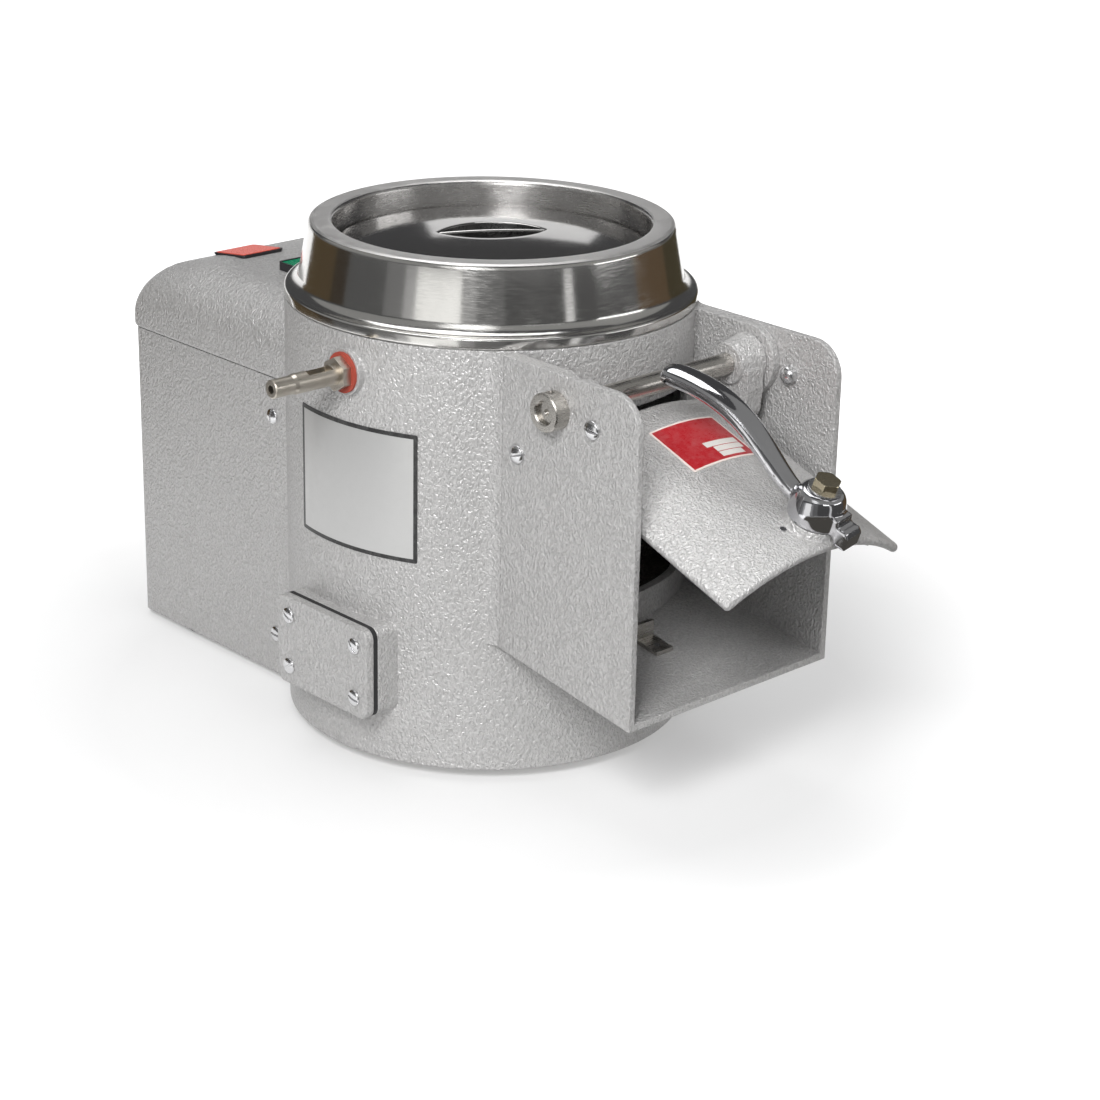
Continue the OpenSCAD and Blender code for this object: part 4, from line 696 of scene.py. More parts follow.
@dataclass
class Lid:
    """The lift-out lid: a crowned disc with a lens-shaped grip recess and a web across it.

    The roll is the radius of the recess's edge, flat is the width of the level band inside the rim, and lip
    is the width of the rim's foot on the ledge.
    """

    rim_r: float = 116.5
    ledge_z: float = 366.0
    rim_t: float = 3.5
    crown: float = 10.5
    sheet: float = 1.5
    half_l: float = 40.5
    half_w: float = 23.5
    depth: float = 12.0
    web_t: float = 3.0
    web_angle: float = -32.0
    web_steps: int = 40
    roll: float = 1.4
    flat: float = 4.0
    lip: float = 5.0
    facets: int = 256

    @property
    def top(self) -> float:
        """Height of the crown in the middle."""
        return self.ledge_z + self.rim_t + self.crown

    def height(self, r: float) -> float:
        """Height of the crown at a radius."""
        return self.top - self.crown * (r / self.rim_r) ** 2

    def lens(self, angle: float, grow: float) -> float:
        """Distance of the recess's edge from the middle.

        Args:
            angle: Direction from the web, in radians.
            grow: How far the edge is moved outwards.

        Returns:
            The distance in millimetres.
        """
        big = (self.half_l**2 + self.half_w**2) / (2 * self.half_w)
        off = big - self.half_w
        side = abs(math.sin(angle))
        return -off * side + math.sqrt(max(0.0, (big + grow) ** 2 - (off * math.cos(angle)) ** 2))

    def ring(self, grow: float, out: float = 0.0, z: Optional[float] = None) -> Ring:
        """One ring of the lid.

        Args:
            grow: How far it lies outside the recess's edge.
            out: Share of the way from there to the lid's rim.
            z: Its height, or None for the crown's own height.

        Returns:
            Its points.
        """
        points: Ring = []
        for j in range(self.facets):
            a = 2 * math.pi * j / self.facets
            r = self.lens(a, grow) * (1 - out) + (self.rim_r - self.flat) * out
            points.append(self.on_lid(r, a, self.height(r) if z is None else z))
        return points

    def on_lid(self, r: float, angle: float, z: float) -> Point:
        """Point at a radius and at an angle from the web."""
        a = angle + math.radians(self.web_angle)
        return (r * math.cos(a), r * math.sin(a), z)

    def circle(self, r: float, z: float) -> Ring:
        """Plain round ring."""
        return [self.on_lid(r, 2 * math.pi * j / self.facets, z) for j in range(self.facets)]

    def sunk(self, ring: Ring, by: float) -> Ring:
        """The ring, moved down."""
        return [(x, y, z - by) for x, y, z in ring]

    def build(self) -> None:
        """Makes the pressed sheet and the web."""
        floor = self.top - self.depth
        inside = floor + self.sheet
        bend = ((-14, 0), (-2.5, 0), (-0.7, 0.7), (0, 2.5))
        recess = [[(0.0, 0.0, inside)], *(self.ring(grow, z=inside + up) for grow, up in bend)]
        edge: List[Ring] = []
        for a in (math.pi / 2 * i / 5 for i in range(6)):
            edge.append(self.sunk(self.ring(self.roll * (1 - math.cos(a))), self.roll * (1 - math.sin(a))))
        crown = [self.ring(self.roll, i / 24) for i in range(1, 25)]
        rim_z, ledge = self.ledge_z + self.rim_t, self.ledge_z
        steps = ((2.4, rim_z), (1, rim_z), (0.3, rim_z - 0.3), (0, rim_z - 1), (0, ledge),
                 (self.lip, ledge), (self.lip, rim_z - self.sheet))
        rim = [self.circle(self.rim_r - inwards, z) for inwards, z in steps]
        under = [self.sunk(self.ring(self.sheet + 1, i / 8), self.sheet) for i in range(7, -1, -1)]
        under += [self.ring(self.sheet, z=floor + 2), self.ring(self.sheet - 1, z=floor)]
        under.append([(0.0, 0.0, floor)])
        rings = recess + edge + crown + rim + under
        # The recess and the start of its edge take the dark steel: painted shade in the recess.
        bands = [1 if i < len(recess) + 2 else 0 for i in range(len(rings))]
        keep("lid_sheet", skin_rings(rings, (SPUN, SHADED), bands), "lid", ("lid",))
        keep("lid_web", self.web(floor), "lid")

    def web(self, floor: float) -> Mesh:
        """Thin wall with a rounded back, lengthwise across the recess."""
        rings: List[Ring] = []
        turn = math.radians(self.web_angle)
        half, foot = self.web_t / 2, floor + 0.4
        for i in range(self.web_steps + 1):
            along = (2 * i / self.web_steps - 1) * (self.half_l - 0.6)
            top = self.height(abs(along)) - 0.05
            section = [(-half, foot), (half, foot), *bow((0.0, top - half), half, 0, 180, 8)]
            rings.append([
                (along * math.cos(turn) - y * math.sin(turn), along * math.sin(turn) + y * math.cos(turn), z)
                for y, z in section
            ])
        return skin_rings(capped(rings), (SPUN,))


@dataclass(frozen=True)
class DoorSpace:
    """Where the door's own pieces lie: built shut, then swung up about the hinge shaft."""

    hinge_y: float = 180.3
    hinge_z: float = 305.2
    swing: float = 70.5
    face_r: float = 162.5

    def matrix(self) -> Matrix:
        """Turn from the shut door to the open one, in millimetres."""
        pin = Vector((0, -self.hinge_y, self.hinge_z))
        turn = Matrix.Rotation(math.radians(-self.swing), 4, "X")
        return Matrix.Translation(pin) @ turn @ Matrix.Translation(-pin)


@dataclass
class LatchLever:
    """The chrome-plated latch lever: hub, curved handle and stepped tail, cast in one.

    The handle's half width and half thickness are given at its root and at their greatest. Shares of its
    length say where it is broadest and how much of its end is rounded. Melting adds the swell to it.
    """

    door: DoorSpace = DoorSpace()
    bolt: Point = (8.0, -162.5, 149.2)
    turn: float = 10.0
    bottom: float = 5.3
    hub_r: float = 20.0
    hub_top_r: float = 13.0
    hub_top: float = 28.7
    hub_side: float = 4.0
    bore_r: float = 5.05
    path: Tuple[Pair, ...] = ((10.0, 12.0), (50.0, 19.0), (68.0, 61.0), (142.0, 40.0))
    half_w: Pair = (7.0, 12.0)
    half_t: Pair = (6.0, 7.8)
    broadest: float = 0.8
    end_round: float = 0.05
    end_loss: float = 0.3
    swell: float = 0.15
    section_power: float = 0.9
    tail_w: float = 19.0
    tail_l: float = 33.0
    tail_top: float = 14.0
    tail_gap: float = 0.6
    voxel: float = 0.75
    passes: int = 16

    def place(self) -> Matrix:
        """From the lever's own space to the frame, in millimetres."""
        on_door = Matrix.Translation(Vector(self.bolt)) @ Matrix.Rotation(math.pi / 2, 4, "X")
        return self.door.matrix() @ on_door @ Matrix.Rotation(math.radians(90 + self.turn), 4, "Z")

    def on_path(self, t: float) -> Vector:
        """Point of the handle's middle line."""
        p = [Vector(q) for q in self.path]
        return (1 - t) ** 3 * p[0] + 3 * (1 - t) ** 2 * t * p[1] + 3 * (1 - t) * t * t * p[2] + t**3 * p[3]

    def handle(self) -> Mesh:
        """Curved handle of rounded section, which broadens to a cut-off end."""
        rings: List[Ring] = []
        steps, sides = 40, 32
        (narrow, broad), (thin, full) = self.half_w, self.half_t
        for t in (i / steps for i in range(steps + 1)):
            c = self.on_path(t)
            d = self.on_path(min(1.0, t + 0.01)) - self.on_path(max(0.0, t - 0.01))
            n = Vector((-d.y, d.x)).normalized()
            past = max(0.0, t - (1 - self.end_round)) / self.end_round
            shrink = math.sqrt(1 - self.end_loss * past**2)
            grown = math.sin(math.pi / 2 * min(1.0, t / self.broadest))
            wide = (narrow + (broad - narrow) * grown) * shrink - self.swell
            thick = (thin + (full - thin) * t) * shrink - self.swell
            ring: Ring = []
            for a in (2 * math.pi * j / sides for j in range(sides)):
                up = thick * math.copysign(abs(math.cos(a)) ** self.section_power, math.cos(a))
                across = wide * math.copysign(abs(math.sin(a)) ** self.section_power, math.sin(a))
                ring.append((c.x + n.x * up, across, c.y + n.y * up))
            rings.append(ring)
        return skin_rings(capped(rings))

    def hub(self) -> Mesh:
        """Domed hub, still without its bore."""
        low, shoulder = self.bottom, self.bottom + self.hub_side
        step, rise = self.hub_r - self.hub_top_r, self.hub_top - shoulder
        quarter = bow((0.0, 0.0), 1.0, 0, 90, 12)
        dome = [(self.hub_top_r + step * x, shoulder + rise * y) for x, y in quarter]
        return skin_rings(turned([(0.0, low), (self.hub_r, low), *dome, (0.0, self.hub_top)], 64))

    def tail(self) -> Mesh:
        """Stepped tail that hooks behind the catch."""
        half, end, top, hub = self.tail_w / 2, -self.tail_l, self.tail_top, -self.hub_r
        outline = [
            (0, self.bottom), (hub - 2, self.bottom), (hub - 3.5, self.tail_gap), (end, self.tail_gap),
            (end, top - 3), (end + 3, top), (hub - 3, top), (hub - 2, top + 5), (0, top + 5),
        ]
        bm = bmesh.new()
        sides = [[bm.verts.new(Vector((x, y, z)) * MM) for x, z in outline] for y in (-half, half)]
        bm.faces.new(sides[0])
        bm.faces.new(list(reversed(sides[1])))
        for i in range(len(outline)):
            k = (i + 1) % len(outline)
            bm.faces.new((sides[0][i], sides[1][i], sides[1][k], sides[0][k]))
        bmesh.ops.recalc_face_normals(bm, faces=bm.faces)
        return baked(bm, "tail")

    def build(self) -> None:
        """Melts the three forms into one smooth casting and bores it."""
        work = loose("lever_work", joined((self.handle(), self.hub(), self.tail()), "lever"))
        melt = work.modifiers.new("melt", "REMESH")
        melt.mode = "VOXEL"
        melt.voxel_size = self.voxel * MM
        ease = work.modifiers.new("ease", "SMOOTH")
        ease.factor, ease.iterations = 0.5, self.passes
        low, high, r = -5.0, 60.0, self.bore_r
        bore = loose("bore", skin_rings(turned([(0.0, low), (r, low), (r, high), (0.0, high)], 48)))
        carve(work, bore)
        mesh = evaluated(work, bore)
        mesh.transform(in_metres(self.place()))
        mesh.materials.clear()
        mesh.materials.append(CHROME.material())
        soften(mesh, 40.0)
        keep("lever_casting", mesh, "lever", ("latch_lever",))


@dataclass
class StopPin:
    """The small sunk pin beside the latch: a rim on the door's face with a cupped end inside, whose black is
    painted shade for a deep hole.
    """

    door: DoorSpace = DoorSpace()
    across: float = -16.5
    drop: float = 152.0
    radius: float = 2.9
    proud: float = 0.6
    length: float = 4.0
    facets: int = 24

    def build(self) -> None:
        """Turns the pin and sets it in the door."""
        r, proud = self.radius, self.proud
        outside = [(0.0, -self.length), (r, -self.length)]
        outside += [(r, proud - 0.25), (r - 0.2, proud), (r - 0.45, proud)]
        # The cup is black: painted shade that makes the shallow cup read as a deep hole.
        cup = [(r - 0.6, proud - 0.15), (r - 0.8, 0.2), (0.0, 0.12)]
        bands = [0] * len(outside) + [1] * (len(cup) - 1)
        mesh = skin_rings(turned(outside + cup, self.facets), (ZINC, BLACK_PLASTIC), bands)
        face = math.sqrt(self.door.face_r**2 - self.across**2)
        out = Vector((self.across, -face, 0)).normalized()
        seat = Matrix.Translation(Vector((self.across, -face, self.door.hinge_z - self.drop)))
        turn = out.to_track_quat("Z", "Y").to_matrix().to_4x4()
        mesh.transform(in_metres(self.door.matrix() @ seat @ turn))
        keep("door_stop_pin", mesh, "door")


@dataclass(frozen=True)
class Bend:
    """Where a thin plate lies round the drum's axis: radius of its back, heights and angles in degrees."""

    radius: float
    bottom: float
    height: float
    middle: float
    half: float

    @property
    def width(self) -> float:
        """Its width, measured round the bend."""
        return math.radians(2 * self.half) * self.radius


@dataclass
class Plates:
    """The two blank plates: one on the drum, one on the door."""

    door: DoorSpace = DoorSpace()
    thickness: float = 0.5
    corner: float = 1.2
    steps: int = 40
    on_drum: Bend = Bend(155.0, 169.0, 97.4, 187.3, 21.5)
    red_h: float = 49.0
    red_half_w: float = 32.0
    red_off: float = 3.0
    red_drop: float = 75.5

    def sheet(self, bend: Bend, finish: Finish) -> Mesh:
        """Thin plate bent round the drum's axis, with its UV map in millimetres.

        Args:
            bend: Where it lies.
            finish: What it is printed with.

        Returns:
            The mesh.
        """
        bm = bmesh.new()
        uv = bm.loops.layers.uv.new("plate")
        radius, height, width, corner = bend.radius, bend.height, bend.width, self.corner
        across = [0.0, corner * 0.3, corner]
        across += [corner + (width - 2 * corner) * i / self.steps for i in range(1, self.steps + 1)]
        across += [width - corner * 0.3, width]
        grid: Dict[Tuple[int, int, int], Vert] = {}
        places: Dict[Vert, Pair] = {}
        for layer, r in enumerate((radius, radius + self.thickness)):
            for i, u in enumerate(across):
                gap = min(u, width - u)
                inset = corner - math.sqrt(max(0.0, corner**2 - max(0.0, corner - gap) ** 2))
                for j, v in enumerate((inset, height / 2, height - inset)):
                    a = math.radians(bend.middle - bend.half) + u / radius
                    vert = bm.verts.new(Vector((r * math.cos(a), r * math.sin(a), bend.bottom + v)) * MM)
                    grid[layer, i, j] = vert
                    places[vert] = (u, v)
        last = len(across) - 1
        for i in range(last):
            for j in range(2):
                bm.faces.new((grid[1, i, j], grid[1, i + 1, j], grid[1, i + 1, j + 1], grid[1, i, j + 1]))
                bm.faces.new((grid[0, i, j], grid[0, i, j + 1], grid[0, i + 1, j + 1], grid[0, i + 1, j]))
            bm.faces.new((grid[0, i, 0], grid[0, i + 1, 0], grid[1, i + 1, 0], grid[1, i, 0]))
            bm.faces.new((grid[0, i, 2], grid[1, i, 2], grid[1, i + 1, 2], grid[0, i + 1, 2]))
        for j in range(2):
            bm.faces.new((grid[0, 0, j], grid[1, 0, j], grid[1, 0, j + 1], grid[0, 0, j + 1]))
            bm.faces.new((grid[0, last, j], grid[0, last, j + 1], grid[1, last, j + 1], grid[1, last, j]))
        for face in bm.faces:
            for loop in face.loops:
                loop[uv].uv = places[loop.vert]
        bmesh.ops.recalc_face_normals(bm, faces=bm.faces)
        mesh = baked(bm, "plate")
        mesh.materials.append(finish.material())
        soften(mesh)
        return mesh

    def build(self) -> None:
        """Makes both plates."""
        size = (self.on_drum.width, self.on_drum.height)
        silver = Plate("silver_print", (0.54, 0.54, 0.535), 0.36, size, 3.1, metal=0.75)
        keep("drum_plate", self.sheet(self.on_drum, silver), "base", ("instruction_plate",))
        radius = self.door.face_r
        middle, half = (math.degrees(math.asin(x / radius)) for x in (self.red_off, self.red_half_w))
        bend = Bend(radius, self.door.hinge_z - self.red_drop, self.red_h, middle - 90, half)
        # Left and right as shares of the width, bottom and top in millimetres.
        shares = ((0.42, 16.5, 0.93, 22.0), (0.50, 10.3, 0.93, 15.8), (0.50, 4.2, 0.86, 9.6))
        boxes = tuple((left * bend.width, low, right * bend.width, high) for left, low, right, high in shares)
        size = (bend.width, bend.height)
        red = Plate("red_print", (0.36, 0.012, 0.018), 0.30, size, 1.5, (0.72, 0.62, 0.58), boxes)
        mesh = self.sheet(bend, red)
        mesh.transform(in_metres(self.door.matrix()))
        keep("door_plate", mesh, "door", ("rating_plate",))


@dataclass(frozen=True)
class ScrewKind:
    """Sizes of one kind of slotted screw, in millimetres."""

    head_r: float
    head_h: float
    shank_r: float
    length: float
    slot_w: float
    slot_d: float
    edge: float = 0.25

    def mesh(self) -> Mesh:
        """Round-headed screw with its seat at the origin and its head towards +Z."""
        r, h, shank, end = self.head_r, self.head_h, self.shank_r, -self.length
        dome = [(r * x, h * 0.3 + h * 0.7 * y) for x, y in bow((0.0, 0.0), 1.0, 0, 81, 9)]
        stem = [(0.0, end), (shank * 0.8, end), (shank, end + 1.0), (shank, 0.0), (r - 0.2, 0.0), (r, 0.2)]
        head = loose("head", skin_rings(turned([*stem, *dome, (0.0, h)], 40)))
        bpy.ops.mesh.primitive_cube_add(size=1.0)
        blade = bpy.context.active_object
        blade.dimensions = (3 * r * MM, self.slot_w * MM, 2 * self.slot_d * MM)
        blade.location = (0, 0, h * MM)
        bpy.context.view_layer.update()
        carve(head, blade)
        edge = head.modifiers.new("edge", "BEVEL")
        edge.width, edge.segments, edge.limit_method = self.edge * MM, 2, "ANGLE"
        edge.angle_limit = math.radians(40)
        mesh = evaluated(head, blade)
        soften(mesh, 35.0)
        return mesh


@dataclass(frozen=True)
class DomeNut:
    """Sizes of a closed hexagon nut, in millimetres."""

    across: float = 12.5
    height: float = 8.0
    ball_r: float = 8.0

    def mesh(self) -> Mesh:
        """Hexagon with a domed back, seat at the origin."""
        corner, top, r = self.across / 2 / math.cos(math.pi / 6), self.height, self.ball_r
        prism = turned([(0.0, 0.0), (corner, 0.0), (corner, top), (0.0, top)], 6)
        body = loose("hexagon", skin_rings(prism))
        rounding = turned([(0.0, -r), *bow((0, 0), r, -80, 80, 24), (0.0, r)], 48)
        ball = loose("ball", skin_rings(rounding))
        carve(body, ball, "INTERSECT")
        mesh = evaluated(body, ball)
        soften(mesh, 35.0)
        return mesh


def outwards(x: float, spots: Sequence[Pair], sides: Sequence[int] = BOTH) -> List[Seat]:
    """Seats at a distance to the sides and at spots (y, z), facing outwards."""
    return [((s * x, y, z), (s, 0, 0)) for s in sides for y, z in spots]


def round_below(radius: float, angles: Sequence[float], z: float) -> List[Seat]:
    """Seats on a circle at angles in degrees, facing down."""
    turns = map(math.radians, angles)
    return [((radius * math.cos(a), radius * math.sin(a), z), (0, 0, -1)) for a in turns]


@dataclass
class Fasteners:
    """Screws and nuts, set on points by one Geometry Nodes tree."""

    guard: ScrewKind = ScrewKind(7.0, 4.0, 4.0, 8.0, 1.9, 2.0)
    plate: ScrewKind = ScrewKind(6.2, 3.0, 3.0, 13.0, 1.6, 1.6)
    cover: ScrewKind = ScrewKind(6.2, 3.0, 3.0, 8.0, 1.6, 1.6)
    small: ScrewKind = ScrewKind(4.6, 2.8, 2.5, 12.0, 1.2, 1.3)
    nut: DomeNut = DomeNut()
    guard_face: float = 101.7
    guard_back: float = 96.7
    guard_low: Pair = (-142.2, 263.1)
    guard_high: Pair = (-217.0, 300.1)
    casing_face: float = 106.5
    casing_rows: Tuple[Pair, ...] = ((132.4, 40.0), (132.4, 222.4))
    cover_seat: Point = (60.0, 323.2, 263.6)
    boss_face: float = 172.3
    boss_middle: Pair = (-8.4, 85.1)
    boss_spread: Pair = (38.5, 20.5)
    housing_r: float = 41.5
    housing_z: float = 47.0
    lug_r: float = 140.0
    rear_seat: Pair = (95.0, 307.5)
    base_z: float = 10.0
    spun: int = 0

    def tree(self) -> bpy.types.NodeTree:
        """Tree that sets one piece on every point, along the point's way and spun at random."""
        known = bpy.data.node_groups.get("set_on_points")
        if known is not None:
            return known
        tree = bpy.data.node_groups.new("set_on_points", "GeometryNodeTree")
        tree.interface.new_socket("Geometry", in_out="INPUT", socket_type="NodeSocketGeometry")
        tree.interface.new_socket("Geometry", in_out="OUTPUT", socket_type="NodeSocketGeometry")
        for label, kind in (("Piece", "Object"), ("Spin", "Float"), ("Seed", "Int"), ("Finish", "Material")):
            tree.interface.new_socket(label, in_out="INPUT", socket_type="NodeSocket" + kind)
        kinds = {
            "in": "NodeGroupInput", "out": "NodeGroupOutput", "way": "GeometryNodeInputNamedAttribute",
            "turn": "FunctionNodeAlignRotationToVector", "chance": "FunctionNodeRandomValue",
            "about_z": "ShaderNodeCombineXYZ", "spin": "FunctionNodeRotateRotation",
            "info": "GeometryNodeObjectInfo", "put": "GeometryNodeInstanceOnPoints",
            "real": "GeometryNodeRealizeInstances", "paint": "GeometryNodeSetMaterial",
        }
        nodes = {label: tree.nodes.new(kind) for label, kind in kinds.items()}
        nodes["way"].data_type = "FLOAT_VECTOR"
        nodes["way"].inputs["Name"].default_value = "way"
        nodes["turn"].axis = "Z"
        nodes["chance"].data_type = "FLOAT"
        nodes["spin"].rotation_space = "LOCAL"
        wires = (
            ("way", "Attribute", "turn", "Vector"), ("in", "Spin", "chance", 3),
            ("in", "Seed", "chance", "Seed"), ("chance", 1, "about_z", 2),
            ("turn", 0, "spin", "Rotation"), ("about_z", 0, "spin", "Rotate By"),
            ("in", "Piece", "info", "Object"), ("in", "Geometry", "put", "Points"),
            ("info", "Geometry", "put", "Instance"), ("spin", 0, "put", "Rotation"),
            ("put", 0, "real", 0), ("real", 0, "paint", "Geometry"),
            ("in", "Finish", "paint", "Material"), ("paint", 0, "out", 0),
        )
        for source, output, target, entry in wires:
            tree.links.new(nodes[source].outputs[output], nodes[target].inputs[entry])
        return tree

    def scatter(self, mesh: Mesh, places: Sequence[Seat], finish: Finish) -> Mesh:
        """Copies of a mesh at places.

        Args:
            mesh: The one screw or nut.
            places: Seat and direction of each copy, in millimetres.
            finish: The finish.

        Returns:
            One mesh with all the copies.
        """
        pattern = loose("pattern", mesh)
        points = bpy.data.meshes.new("points")
        points.from_pydata([tuple(c * MM for c in seat) for seat, _ in places], [], [])
        way = points.attributes.new("way", "FLOAT_VECTOR", "POINT")
        for item, (_, direction) in zip(way.data, places):
            item.vector = direction
        carrier = loose("carrier", points)
        setter = carrier.modifiers.new("set", "NODES")
        setter.node_group = self.tree()
        self.spun += 1
        values = {"Piece": pattern, "Spin": 2 * math.pi, "Seed": self.spun, "Finish": finish.material()}
        for item in setter.node_group.interface.items_tree:
            if item.in_out == "INPUT" and item.name in values:
                setter[item.identifier] = values[item.name]
        return evaluated(carrier, pattern)

    def boss(self, side: int) -> List[Seat]:
        """Seats of the four screws of a waste boss."""
        (y, z), (dy, dz) = self.boss_middle, self.boss_spread
        return outwards(self.boss_face, [(y + a * dy, z + b * dz) for a in BOTH for b in BOTH], (side,))

    def build(self) -> None:
        """Sets every group of screws."""
        (x, y, z), (rear_x, rear_y) = self.cover_seat, self.rear_seat
        base = round_below(self.lug_r, (-30, -90, -150), self.base_z)
        base += [((s * rear_x, rear_y, self.base_z), (0, 0, -1)) for s in BOTH]
        plan: Dict[str, Tuple[ScrewKind, List[Seat]]] = {
            "guard_screws": (self.guard, outwards(self.guard_face, (self.guard_low,))),
            "casing_screws": (self.plate, outwards(self.casing_face, self.casing_rows)),
            "cover_screws": (self.cover, [((s * x, y, z), (0, 1, 0)) for s in BOTH]),
            "blanking_screws": (self.plate, self.boss(-1)),
            "outlet_screws": (self.plate, self.boss(1)),
            "housing_screws": (self.plate, round_below(self.housing_r, (0, 90, 180, 270), self.housing_z)),
            "base_screws": (self.small, base),
        }
        for node, (kind, places) in plan.items():
            keep(node + "_set", self.scatter(kind.mesh(), places, ZINC), "base", (node,))
        heads = outwards(self.guard_face, (self.guard_high,))
        nuts = [(seat, (-s, 0, 0)) for seat, (s, _, _) in outwards(self.guard_back, (self.guard_high,))]
        pairs = ((self.guard, heads), (self.nut, nuts))
        mesh = joined((self.scatter(kind.mesh(), places, ZINC) for kind, places in pairs), "side_screws")
        mesh.materials.append(ZINC.material())
        keep("chute_side_screws_set", mesh, "base", ("chute_side_screws",))


@dataclass(frozen=True)
class Lamp:
    """One square lamp: its place and side in metres, and its power in watts."""

    name: str
    place: Point
    side: float
    power: float


@dataclass(frozen=True)
class Card:
    """One card bent round the object, which only gloss sees.

    It reaches from one direction to another, in degrees from +X. Each of its two long edges has a radius
    and a height in metres.
    """

    name: str
    start: float
    end: float
    colour: Colour
    edges: Tuple[Pair, Pair] = ((0.85, 0.002), (0.85, 0.46))


@dataclass
class Studio:
    """Floor, lamps, cards, world and camera."""

    focus: float = 87.98
    sensor: float = 36.0
    clip: Pair = (0.05, 60.0)
    place: Point = (-1307.7, -1451.5, 875.7)
    yaw: float = 43.428
    pitch: float = 21.021
    roll: float = 1.238
    floor_half: float = 30.0
    floor_colour: Colour = (0.55, 0.55, 0.55)
    floor_glow: float = 0.3
    floor_fade: Pair = (0.3, 0.9)
    ceiling: Colour = (0.07, 0.07, 0.072)
    horizon: Pair = (0.05, 0.14)
    aim: Point = (0, 0, 0.15)
    lamps: Tuple[Lamp, ...] = (
        Lamp("key", (-1.8, -1.2, 1.8), 0.9, 74.0),
        Lamp("fill", (1.5, -1.9, 1.4), 1.6, 21.0),
        Lamp("front", (-0.5, -2.2, 1.5), 1.0, 11.0),
        Lamp("top", (0.1, 0.5, 2.3), 1.5, 20.0),
        Lamp("strip", (1.65, 1.74, 0.885), 0.5, 0.6),
    )
    ring_start: float = 95.0
    ring: Tuple[Tuple[float, Colour], ...] = (
        (128.0, (0.085, 0.062, 0.035)),
        (140.0, (0.05, 0.04, 0.03)),
        (168.0, (0.10, 0.10, 0.10)),
        (180.0, (0.20, 0.20, 0.20)),
        (187.0, (0.45, 0.45, 0.45)),
        (212.0, (1.15, 1.15, 1.13)),
        (220.0, (0.30, 0.30, 0.30)),
        (235.0, (0.15, 0.15, 0.15)),
        (268.0, (0.08, 0.08, 0.08)),
        (273.0, (0.8, 0.8, 0.8)),
        (316.0, (0.08, 0.08, 0.08)),
        (347.0, (0.11, 0.075, 0.045)),
        (378.0, (0.06, 0.05, 0.03)),
    )
    wide_cards: Tuple[Card, ...] = (
        Card("canopy", 105.0, 350.0, (0.28, 0.28, 0.275), ((0.95, 0.60), (0.55, 1.05))),
        Card("ground", 200.0, 345.0, (0.09, 0.085, 0.075), ((0.36, 0.003), (0.84, 0.003))),
    )

    def build(self) -> None:
        """Sets up everything round the object."""
        bpy.context.scene.view_settings.view_transform = "Standard"
        self.camera()
        self.floor()
        self.world()
        for lamp in self.lamps:
            self.light(lamp)
        start = self.ring_start
        for number, (end, colour) in enumerate(self.ring):
            self.card(Card(f"flag_{number}", start, end, colour))
            start = end
        for card in self.wide_cards:
            self.card(card)

    def camera(self) -> None:
        """Makes the camera."""
        yaw, pitch, roll = (math.radians(v) for v in (self.yaw, self.pitch, self.roll))
        ahead = Vector((math.sin(yaw) * math.cos(pitch), math.cos(yaw) * math.cos(pitch), -math.sin(pitch)))
        right = Vector((math.cos(yaw), -math.sin(yaw), 0.0))
        up = right.cross(ahead)
        right, up = (
            math.cos(roll) * right + math.sin(roll) * up,
            -math.sin(roll) * right + math.cos(roll) * up,
        )
        data = bpy.data.cameras.new("camera")
        data.lens = self.focus
        data.sensor_width = self.sensor
        data.clip_start, data.clip_end = self.clip
        camera = loose("camera", data)
        turn = Matrix((right, up, -ahead)).transposed().to_4x4()
        camera.matrix_world = Matrix.Translation(Vector(self.place) * MM) @ turn
        bpy.context.scene.camera = camera

    def floor(self) -> None:
        """Makes the pale floor, which turns white to the eye and to gloss further from the object."""
        mesh = bpy.data.meshes.new("floor")
        r = self.floor_half
        mesh.from_pydata([(-r, -r, 0), (r, -r, 0), (r, r, 0), (-r, r, 0)], [], [(0, 1, 2, 3)])
        floor = loose("floor", mesh)
        made, s = blank_material("floor")
        lit = s.add("BsdfDiffuse", {"Color": self.floor_colour}).outputs[0]
        path = s.add("LightPath").outputs
        seen = s.math("MAXIMUM", path["Is Camera Ray"], path["Is Glossy Ray"])
        seen = s.math("MAXIMUM", seen, path["Is Transmission Ray"])
        reach = s.add("VectorMath", {0: s.place()}, operation="LENGTH").outputs["Value"]
        glow = s.times(seen, s.remap(reach, *self.floor_fade, self.floor_glow, 1.0))
        back = s.add("Emission", {"Color": WHITE, "Strength": glow}).outputs[0]
        s.add("OutputMaterial", {"Surface": s.add("AddShader", {0: lit, 1: back}).outputs[0]})
        mesh.materials.append(made)

    def card(self, card: Card, steps: int = 24) -> None:
        """Makes one card.

        Args:
            card: What it is like.
            steps: Number of its flat strips.
        """
        verts: List[Point] = []
        for i in range(steps + 1):
            a = math.radians(card.start + (card.end - card.start) * i / steps)
            verts += [(radius * math.cos(a), radius * math.sin(a), z) for radius, z in card.edges]
        mesh = bpy.data.meshes.new(card.name)
        mesh.from_pydata(verts, [], [(2 * i, 2 * i + 2, 2 * i + 3, 2 * i + 1) for i in range(steps)])
        made, s = blank_material(card.name)
        s.add("OutputMaterial", {"Surface": s.add("Emission", {"Color": card.colour}).outputs[0]})
        mesh.materials.append(made)
        thing = loose(card.name, mesh)
        thing.visible_camera = thing.visible_diffuse = False
        thing.visible_shadow = thing.visible_transmission = False

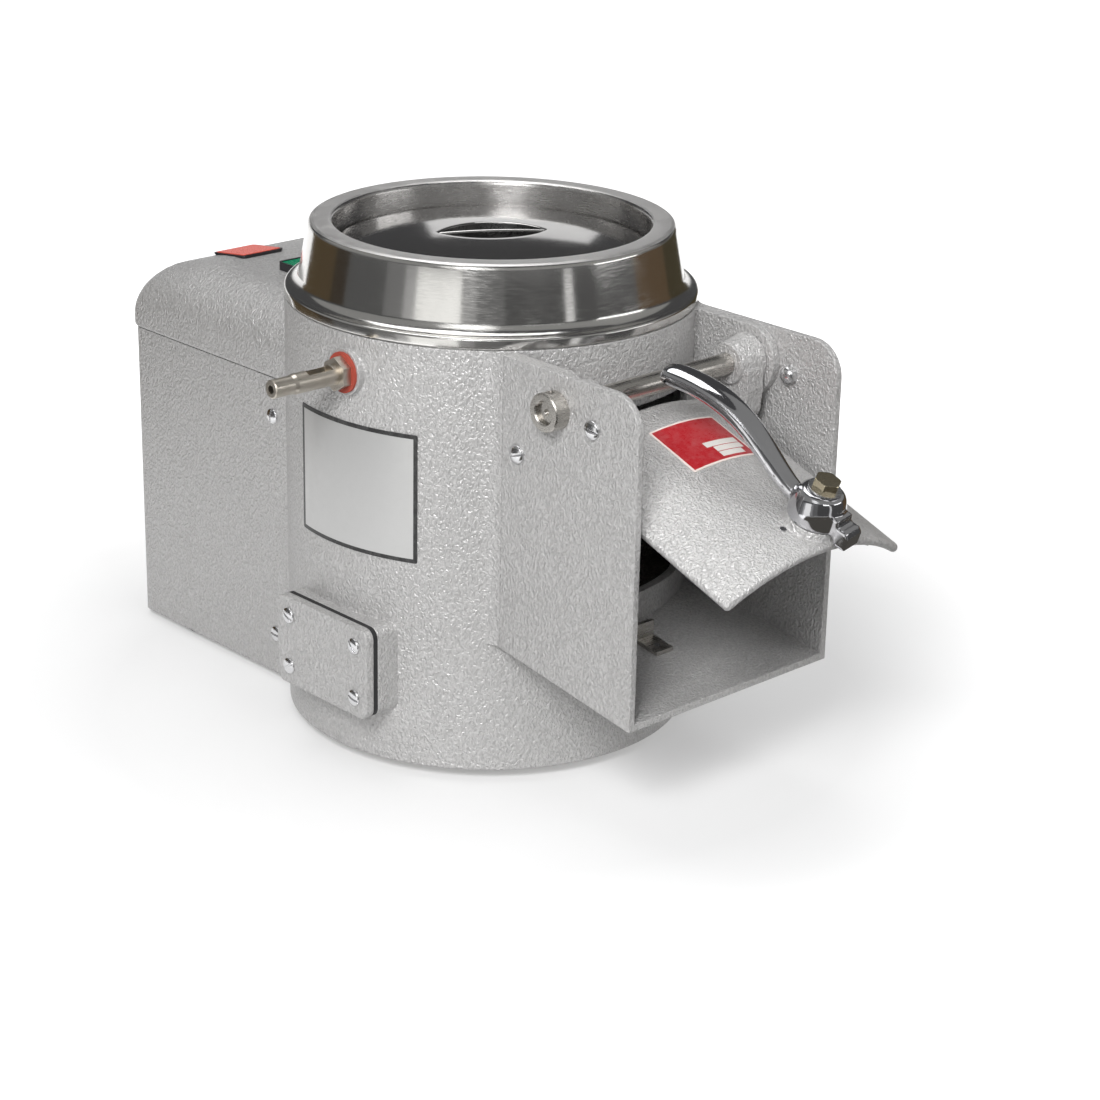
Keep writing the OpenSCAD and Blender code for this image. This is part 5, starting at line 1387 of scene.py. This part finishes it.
    def world(self) -> None:
        """Makes a white horizon under a dark ceiling."""
        world = bpy.data.worlds.new("studio")
        world.use_nodes = True
        world.node_tree.nodes.clear()
        s = Sketch(world.node_tree)
        z = s.add("SeparateXYZ", {0: s.add("TexCoord").outputs["Generated"]}).outputs[2]
        colour = s.blend(s.remap(z, *self.horizon), WHITE, self.ceiling)
        s.add("OutputWorld", {"Surface": s.add("Background", {"Color": colour, "Strength": 1.0}).outputs[0]})
        bpy.context.scene.world = world

    def light(self, lamp: Lamp) -> None:
        """Makes one lamp that shines at the object."""
        data = bpy.data.lights.new(lamp.name, "AREA")
        data.shape, data.size, data.energy = "SQUARE", lamp.side, lamp.power
        made = loose(lamp.name, data)
        made.visible_camera = False
        made.location = lamp.place
        made.rotation_mode = "QUATERNION"
        made.rotation_quaternion = (Vector(self.aim) - Vector(lamp.place)).to_track_quat("-Z", "Y")


@dataclass
class Hardware:
    """Nodes that keep their solids and only take a finish."""

    plan: Dict[Finish, Tuple[str, ...]] = field(default_factory=lambda: {
        STEEL: (
            "hinge_shaft", "shaft_collars", "collar_grub_screws", "spindle", "spindle_circlip",
            "upper_bearing", "lower_bearing", "motor_rotor", "base_plate", "motor_bolts", "door_catch",
        ),
        ZINC: ("catch_screws", "foot_screws", "latch_washer"),
        YELLOW_ZINC: ("latch_bolt",),
        NICKEL: ("water_inlet", "inlet_nut", "inlet_lock_nut"),
        # The door liner is black rubber, and its black is partly painted shade: it also stands in for the
        # deep shade in the chute under the open door.
        RUBBER: ("blanking_gasket", "outlet_gasket", "feet", "shaft_seal", "drive_belt", "door_liner"),
        FIBRE: ("inlet_washer",),
        GRIT: ("abrasive_disc",),
        CAST: ("bearing_housing", "peeler_plate", "driven_pulley", "motor_pulley", "capacitor"),
        MOTOR_PAINT: ("motor_body", "motor_bracket"),
        BLACK_PLASTIC: ("start_switch", "stop_switch", "cable_gland", "gland_lock_nut"),
        GREEN_PLASTIC: ("start_button",),
        RED_PLASTIC: ("stop_button",),
        PALE_PLASTIC: ("terminal_block",),
    })

    def build(self) -> None:
        """Dresses the nodes."""
        for finish, names in self.plan.items():
            dress(finish, names)


def main() -> None:
    """Builds the sub-assemblies in order."""
    logging.basicConfig(level=logging.INFO, format="%(message)s")
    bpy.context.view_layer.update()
    parts = (Castings, Hopper, Lid, LatchLever, StopPin, Plates, Fasteners, Hardware, Studio)
    for part in (kind() for kind in parts):
        part.build()
        LOG.info("built %s", type(part).__name__)


if __name__ == "__main__":
    main()
